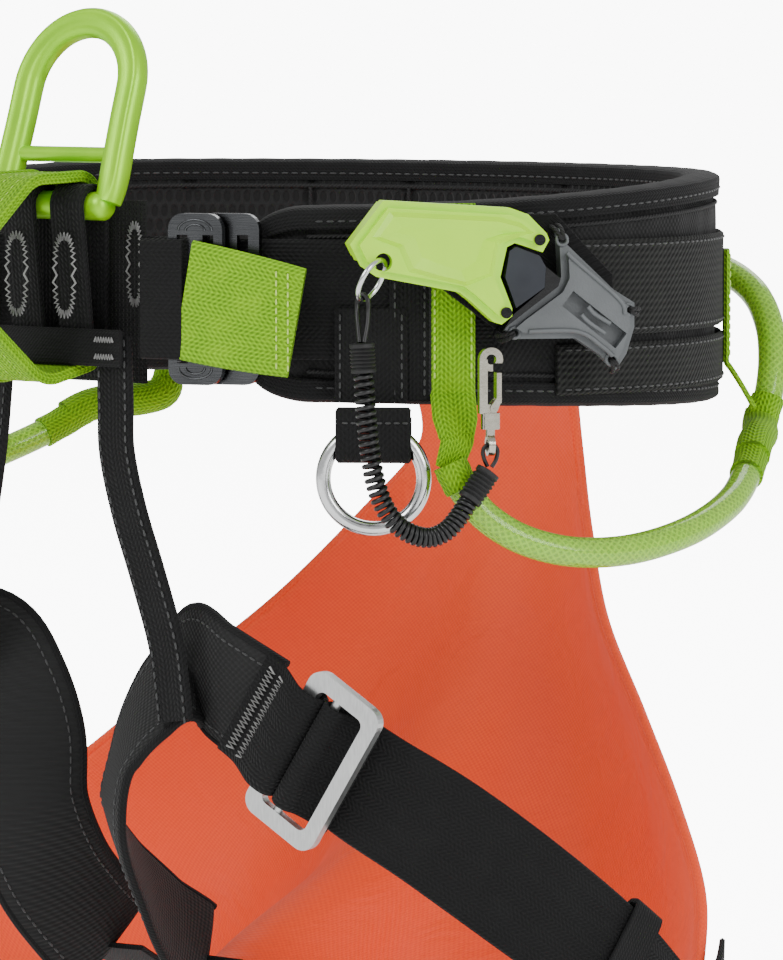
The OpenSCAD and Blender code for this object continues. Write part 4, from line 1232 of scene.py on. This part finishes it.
riser = tube_tape(riser_line, Vector((0, -1, 0)), 17, 3.4)
risers = skin("leg_riser_tapes", [riser, both(riser)], black_tie_webbing, "root",
              ["leg_risers"], 60)
rows = []
for x in (-6.3, 6.3):
    line = [p + Vector((x, -1.9, 0)) * MM for p in riser_line]
    rows += stitches(line, 4.0, 2.7)
skin("riser_stitching", rows + [both(r) for r in rows], dark_thread, "root", (), 80)

pad_route = [Vector(p) * MM for p in [
    (97, -139.8, -154.5), (72, -137, -144), (54, -131, -139), (38, -135, -152),
    (26, -139, -172), (22, -142, -197), (23, -127, -224), (23, -107, -245),
    (24, -90, -258)]]
pad_line = smooth(pad_route, 10)


def pad_section(path, width, thick, fat, power=0.42, sides=36):
    """Rings of a cushioned band with soft edges; fat swells its faces."""
    rings = []
    for i, (p, d) in enumerate(zip(path, tangents(path))):
        t = i / (len(path) - 1)
        over = d.cross(away(p)).normalized()
        n = over.cross(d)
        ends = min(1.0, (t / 0.02) ** 0.5 if t < 0.02 else 1, ((1 - t) / 0.02) ** 0.5
                   if t > 0.98 else 1)
        ring = []
        for k in range(sides):
            s = 2 * math.pi * k / sides
            x = math.copysign(abs(math.cos(s)) ** power, math.cos(s)) * width / 2
            y = math.copysign(abs(math.sin(s)) ** power, math.sin(s)) * thick / 2
            y *= 0.8 + fat * (1 - (2 * x / width) ** 2)
            ring.append(p + (over * x * (0.9 + 0.1 * ends) + n * y * (0.35 + 0.65 * ends))
                        * MM)
        rings.append(ring)
    return rings


PAD_WIDE, SEWN_FROM, BLOW_FRAMES = 44, 0.74, 20


def sewn_down(co):
    """1 where a pad is held by its sewn edges and ends, 0 along its middle."""
    i = min(range(len(pad_line)), key=lambda k: (co - pad_line[k]).length_squared)
    step = tangents(pad_line)[i]
    over = step.cross(away(pad_line[i])).normalized()
    reach = abs((co - pad_line[i]).dot(over)) / (PAD_WIDE / 2 * MM)
    return 1.0 if reach > SEWN_FROM or i < 2 or i > len(pad_line) - 3 else 0.0


def inflate(piece, flip, cap):
    """Blows a pad's closed cloth up between its sewn edges with a cloth simulation, and never
    lets a point move further than cap mm."""
    edge = piece.vertex_groups.new(name="sewn_edge")
    for v in piece.data.vertices:
        edge.add([v.index], sewn_down(Vector((v.co.x * flip, v.co.y, v.co.z))), "REPLACE")
    cloth = piece.modifiers.new("air", "CLOTH")
    cloth.settings.quality = 4
    cloth.settings.mass = 0.2
    cloth.settings.tension_stiffness = 12
    cloth.settings.compression_stiffness = 12
    cloth.settings.bending_stiffness = 0.4
    cloth.settings.vertex_group_mass = "sewn_edge"
    cloth.settings.use_pressure = True
    cloth.settings.uniform_pressure_force = 6
    cloth.settings.effector_weights.gravity = 0
    for number in range(1, BLOW_FRAMES + 1):
        scene.frame_set(number)
    blown = piece.evaluated_get(bpy.context.evaluated_depsgraph_get()).to_mesh()
    moves = [to.co - v.co for to, v in zip(blown.vertices, piece.data.vertices)]
    piece.evaluated_get(bpy.context.evaluated_depsgraph_get()).to_mesh_clear()
    scene.frame_set(1)
    piece.modifiers.clear()
    piece.vertex_groups.clear()
    for v, move in zip(piece.data.vertices, moves):
        v.co += move * min(1.0, cap * MM / max(move.length, 1e-9))


def pad_cloth(mat):
    """Padded nylon cloth on the legs: matt black plain weave by position, as the blown cloth
    has no map of its own. Real threads are 0.6 mm and are drawn at 1.2 mm."""
    place = add(mat, "TexCoord", out=3)
    at = add(mat, "VectorMath", {0: place, 3: 1000.0}, operation="SCALE")
    tilt = add(mat, "Mapping", {"Vector": at, "Rotation": (0.0, 0.0, 0.9)})
    split = add(mat, "SeparateXYZ", {0: tilt}).node
    waves = []
    for axis in (0, 2):
        phase = calc(mat, "MULTIPLY", split.outputs[axis], math.pi / 1.2)
        waves.append(calc(mat, "SINE", phase))
    cross = calc(mat, "MULTIPLY", waves[0], waves[1])
    weave = add(mat, "MapRange", {0: cross, 1: -1.0, 2: 1.0})
    fade = add(mat, "TexNoise", {"Vector": at, "Scale": 0.05, "Detail": 6.0})
    dark = mix(mat, fade, "#050506", "#101111")
    tone = mix(mat, weave, "#020202", dark)
    return {"Base Color": tone, "Roughness": 0.86, "Sheen Weight": 0.04, "height": weave,
            "relief": 0.0004}


black_pad_cloth = surface("black_padded_nylon_cloth", pad_cloth)
shape = pad_section(pad_line, PAD_WIDE, 5.4, 0.3)
for side_name, rings in (("left", shape), ("right", both(shape))):
    pad = skin(f"leg_pad_{side_name}", [rings], black_pad_cloth, "root",
               ["leg_pads"] if side_name == "left" else (), 70)
    inflate(pad, 1 if side_name == "left" else -1, 2.2)
edges, rows = [], []
for sign in (-1, 1):
    edge, seam = [], []
    for p, d in zip(pad_line, tangents(pad_line)):
        over = d.cross(away(p)).normalized()
        n = over.cross(d)
        edge.append(p + over * sign * 22.2 * MM)
        seam.append(p + (over * sign * 17.5 + n * 2.4) * MM)
    edges.append(round_rings(edge, 1.7 * MM, 10))
    rows += stitches(seam, 4.0, 2.8)
pad_tape = skin("leg_pad_edge_tape", edges + [both(r) for r in edges], black_binding, "root",
                (), 80)
skin("leg_pad_stitching", rows + [both(r) for r in rows], dark_thread, "root", (), 80)

# The buckle's own frame: x along the strap, y across it and z out of its face.
BUCKLE_AT = Vector((121, -143.8, -168.5))
B_OUT = Vector((0.12, -1, 0)).normalized()
B_LONG = Vector((20, 2, -12.5)).normalized()
B_OVER = B_OUT.cross(B_LONG).normalized()
B_LONG = B_OVER.cross(B_OUT)


def buckle_pt(x, y, z):
    """A point in the leg buckle's own frame, in mm."""
    return (BUCKLE_AT + B_LONG * x + B_OVER * y + B_OUT * z) * MM


def brushed(mat):
    """Cast aluminium, tumbled and lightly brushed: pale, satin, brighter on its edges."""
    place = add(mat, "TexCoord", out=3)
    fine = add(mat, "VectorMath", {0: place, 1: (1500, 1500, 240)}, operation="MULTIPLY")
    brush = add(mat, "TexNoise", {"Vector": fine, "Scale": 1.0, "Detail": 4.0})
    tone = mix(mat, brush, "#A9ABAB", "#DADBDA")
    rough = add(mat, "MapRange", {0: brush, 3: 0.28, 4: 0.44})
    return {"Base Color": tone, "Metallic": 1.0, "Roughness": rough, "height": brush,
            "relief": 0.00006}


satin_aluminium = surface("satin_cast_aluminium", brushed)
finish_node("leg_buckle_left", satin_aluminium)
finish_node("leg_buckle_right", satin_aluminium)
fold_line = smooth([buckle_pt(x, 0, z) for x, z in [
    (-38, -2.6), (-30, -2.0), (-22, 2.2), (-18, 4.4), (-14, 5.0), (-10.2, 4.0), (-8.2, 0.4),
    (-9.2, -3.4), (-13, -5.4), (-20, -5.8)]], 6)
turn_line = smooth([buckle_pt(x, 0, z) for x, z in [
    (16, -4.4), (9, -4.2), (3, -1.4), (0.2, 2.0), (-3, 3.3), (-6.0, 1.6), (-6.0, -1.8),
    (-3, -3.3), (4, -6.0)]], 6)
strap_route = [Vector(p) * MM for p in [
    (122, -135.2, -169), (138, -130, -179.5), (158, -114, -196), (180, -87, -222),
    (196, -56, -249), (202, -24, -276)]]
strap_line = smooth(strap_route, 10)
sewn_end = smooth([Vector(p) * MM for p in [
    (202, -24, -276), (204, -14, -279), (203, -4, -278), (198, 8, -273), (191, 19, -267)]], 8)
leg_webbing = surface("black_leg_webbing",
                      woven("#020202", "#111112", 1.6, 2.0, 4.2, 0.0005, fade="#191A1A"))


def folded(path, width, thick):
    """A ribbon that doubles back on itself round a bar."""
    rings = []
    for p, d in zip(path, tangents(path)):
        n = d.cross(B_OVER)
        rings.append([p + (B_OVER * x * width + n * y * thick) * MM for x, y in (
            (-0.5, 0), (-0.48, 0.5), (-0.2, 0.5), (0.2, 0.5), (0.48, 0.5), (0.5, 0),
            (0.48, -0.5), (0.2, -0.5), (-0.2, -0.5), (-0.48, -0.5))])
    return rings


fold = folded(fold_line, 44, 2.0)
turn = folded(turn_line, 45, 2.0)
strap = ribbon(strap_line, away, 45, 2.2, bow=0.25)
sewn = ribbon(sewn_end, away, 45, 2.2)
straps = skin("leg_straps_45", [strap, both(strap), sewn, both(sewn), fold, both(fold)],
              leg_webbing, "root", ["leg_straps"])
for side_name, rings in (("left", turn), ("right", both(turn))):
    wrap = skin(f"leg_strap_turn_{side_name}", [rings], leg_webbing,
                f"leg_buckle_{side_name[0]}")
bars = []
for x, lift in ((-33.0, -1.1), (-27.0, 0.3)):
    path = [buckle_pt(x + (1.7 if k % 2 else -1.7), -18 + 36 * k / 38,
                      lift + (0.45 if k % 2 else 0.0)) for k in range(39)]
    bars.append(round_rings(path, 0.45 * MM, 5))
skin("leg_bar_tacks", bars + [both(r) for r in bars], grey_thread, "root", (), 80)

# Each strap keeper is a sewn loop of elastic webbing that traps the strap's tail.
KEEPER_AT = 40
p, d = strap_line[KEEPER_AT], tangents(strap_line)[KEEPER_AT]
over = d.cross(away(p)).normalized()
n = over.cross(d)
keeper = []
for k in range(41):
    t = 2 * math.pi * k / 40
    x = math.copysign(abs(math.cos(t)) ** 0.35, math.cos(t)) * 25.2
    y = math.copysign(abs(math.sin(t)) ** 0.35, math.sin(t)) * 3.4
    centre = p + (over * x + n * y) * MM
    wall = (over * x / 25.2 * abs(math.cos(t)) + n * y / 3.4 * abs(math.sin(t))).normalized()
    keeper.append([centre + (d * a * 7.3 + wall * b) * MM for a, b in (
        (-1, 0.2), (-0.96, 0.9), (0, 1.0), (0.96, 0.9), (1, 0.2), (0.96, -0.8), (-0.96, -0.8))])
keepers = skin("strap_keeper_loops", [keeper, both(keeper)], black_binding, "root",
               ["strap_keepers"])

# ==== Seat panel ====
# One orange sheet hangs from the back of the belt and spreads to both leg loops: coated
# polyester over thin foam, sewn down the middle, its edges rolled and stitched.

seat_rows = [
    [(0, 133, -48), (10, 133, -48), (20, 132, -48), (31, 131, -48), (41, 128.5, -48)],
    [(0, 138, -75), (10, 138, -75), (21, 137, -75), (31, 135, -75), (41, 133, -75)],
    [(0, 133, -105), (15, 134, -105), (30, 132, -105), (45, 125, -105), (60, 114, -105)],
    [(0, 122, -138), (22, 124, -138), (44, 121, -138), (65, 109, -138), (85, 91, -138)],
    [(0, 104, -172), (30, 110, -173), (60, 110, -174), (90, 94, -173), (119, 69, -171)],
    [(0, 76, -205), (37, 92, -208), (75, 96, -210), (114, 80, -208), (151, 48, -203)],
    [(0, 34, -236), (40, 66, -244), (86, 83, -248), (135, 66, -243), (180, 24, -233)],
    [(0, -26, -260), (34, 26, -276), (88, 68, -288), (146, 56, -280), (193, 4, -260)],
    [(7, -62, -270), (32, 2, -296), (90, 56, -314), (150, 44, -308), (200, -12, -290)]]
full_rows = [[Vector((-x, y, z)) * MM for x, y, z in r[:0:-1]]
             + [Vector(q) * MM for q in r] for r in seat_rows]
PER = 14
across_rows = [smooth(r, PER) for r in full_rows]
columns = [smooth([r[j] for r in across_rows], PER) for j in range(len(across_rows[0]))]
grid = [[columns[j][i] for j in range(len(columns))] for i in range(len(columns[0]))]
rows_n, cols_n = len(grid), len(grid[0])


def grid_normal(i, j):
    """Straight out of the sheet at one of its grid points."""
    a = grid[i][min(j + 1, cols_n - 1)] - grid[i][max(j - 1, 0)]
    b = grid[min(i + 1, rows_n - 1)][j] - grid[max(i - 1, 0)][j]
    return a.cross(b).normalized()


verts, faces, uvs = [], [], []
flat_v = [0.0]
for i in range(1, rows_n):
    flat_v.append(flat_v[-1] + (grid[i][cols_n // 4] - grid[i - 1][cols_n // 4]).length)
flat_u = [[0.0] for _ in range(rows_n)]
for i in range(rows_n):
    for j in range(1, cols_n):
        flat_u[i].append(flat_u[i][-1] + (grid[i][j] - grid[i][j - 1]).length)
    mid_u = flat_u[i][cols_n // 2]
    flat_u[i] = [u - mid_u for u in flat_u[i]]
for back in (0, 1):
    for i in range(rows_n):
        for j in range(cols_n):
            n = grid_normal(i, j)
            u, v = flat_u[i][j], flat_v[i]
            folds = 0.9 * math.sin(u * 52 + 2.5 * math.sin(v * 21)) * math.sin(v * 17 + 0.6)
            folds += 0.5 * math.sin(u * 118 - v * 63 + 1.3)
            edge = min(j, cols_n - 1 - j, rows_n - 1 - i, i) / 10
            folds *= min(1.0, edge)
            seam = -1.1 * math.exp(-((u / 0.0022) ** 2))
            thick = 3.0 if edge > 0.2 else 1.4 + 8 * edge
            sunk = folds * 0.8 + 1.0 + (seam if back == 0 else 0)
            verts.append(tuple(grid[i][j] - n * (sunk + back * thick) * MM))
count = rows_n * cols_n
for back in (0, 1):
    for i in range(rows_n - 1):
        for j in range(cols_n - 1):
            a = back * count + i * cols_n + j
            quad = [a, a + 1, a + cols_n + 1, a + cols_n]
            where = [(i, j), (i, j + 1), (i + 1, j + 1), (i + 1, j)]
            if back:
                quad, where = quad[::-1], where[::-1]
            faces.append(quad)
            uvs += [(flat_u[r][c], flat_v[r]) for r, c in where]
rim = ([(0, j) for j in range(cols_n)] + [(i, cols_n - 1) for i in range(1, rows_n)]
       + [(rows_n - 1, j) for j in range(cols_n - 2, -1, -1)]
       + [(i, 0) for i in range(rows_n - 2, 0, -1)])
for (i, j), (k, m) in zip(rim, rim[1:] + rim[:1]):
    a, b = i * cols_n + j, k * cols_n + m
    faces.append([b, a, a + count, b + count])
    uvs += [(flat_u[k][m], flat_v[k]), (flat_u[i][j], flat_v[i])] * 2


def coated_polyester(mat):
    """PU-coated polyester: strong orange, low satin shine, a fine plain weave under the
    coating and darker creases. Threads are 0.5 mm and are drawn at 1 mm."""
    at = metres_uv(mat)
    weave = cloth_height(mat, at, 1.0)
    cloud = add(mat, "TexNoise", {"Vector": at, "Scale": 0.018, "Detail": 5.0})
    crease = add(mat, "TexNoise", {"Vector": at, "Scale": 0.035, "Detail": 2.0,
                                   "Distortion": 1.5})
    tone = mix(mat, cloud, "#FB4200", "#FF5A00")
    fine = mix(mat, weave, "#F23E00", tone)
    rough = add(mat, "MapRange", {0: cloud, 3: 0.5, 4: 0.66})
    mixed = calc(mat, "MULTIPLY", crease, 14.0)
    height = calc(mat, "ADD", mixed, weave)
    return {"Base Color": fine, "Roughness": rough, "Sheen Weight": 0.1, "height": height,
            "relief": 0.00012}


orange_cloth = surface("orange_coated_polyester", coated_polyester)
seat_mesh = bpy.data.meshes.new("seat_sheet")
seat_mesh.from_pydata(verts, [], faces)
layer = seat_mesh.uv_layers.new(name="metres")
for loop, uv in zip(layer.data, uvs):
    loop.uv = uv
seat_mesh.shade_smooth()
seat_mesh.set_sharp_from_angle(angle=math.radians(60))
seat_mesh.materials.append(orange_cloth)
seat = bpy.data.objects.new("seat_sheet", seat_mesh)
scene.collection.objects.link(seat)
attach(seat, "root")
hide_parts("seat_panel")
outline = [grid[i][j] - grid_normal(i, j) * 1.5 * MM for i, j in rim]
hem = skin("seat_rolled_edge", [round_rings(outline + outline[:1], 1.9 * MM, 10)],
           orange_cloth, "root", (), 80)
orange_thread = surface("dark_orange_thread", thread_finish(("#B83208", "#E0551E")))
# Where each leg pad meets the sheet, a black gusset is sewn over both.
gusset_line = smooth([Vector(p) * MM for p in [
    (24, -94, -257.5), (23, -84, -263), (21, -72, -269), (22, -58, -274), (26, -42, -279)]], 6)
gusset = ribbon(gusset_line, Vector((0, -0.35, -1)), lambda t: 42 - 8 * t, 2.2, bow=0.3)
gussets = skin("leg_pad_gussets", [gusset, both(gusset)], black_binding, "root")
rows = []
for inset in (5, 8):
    line = [grid[i][inset] + grid_normal(i, inset) * 0.3 * MM for i in range(rows_n)]
    rows += stitches(line, 4.2, 3.0)
    line = [grid[i][cols_n - 1 - inset] + grid_normal(i, cols_n - 1 - inset) * 0.3 * MM
            for i in range(rows_n)]
    rows += stitches(line, 4.2, 3.0)
skin("seat_edge_stitching", rows, orange_thread, "root", (), 80)
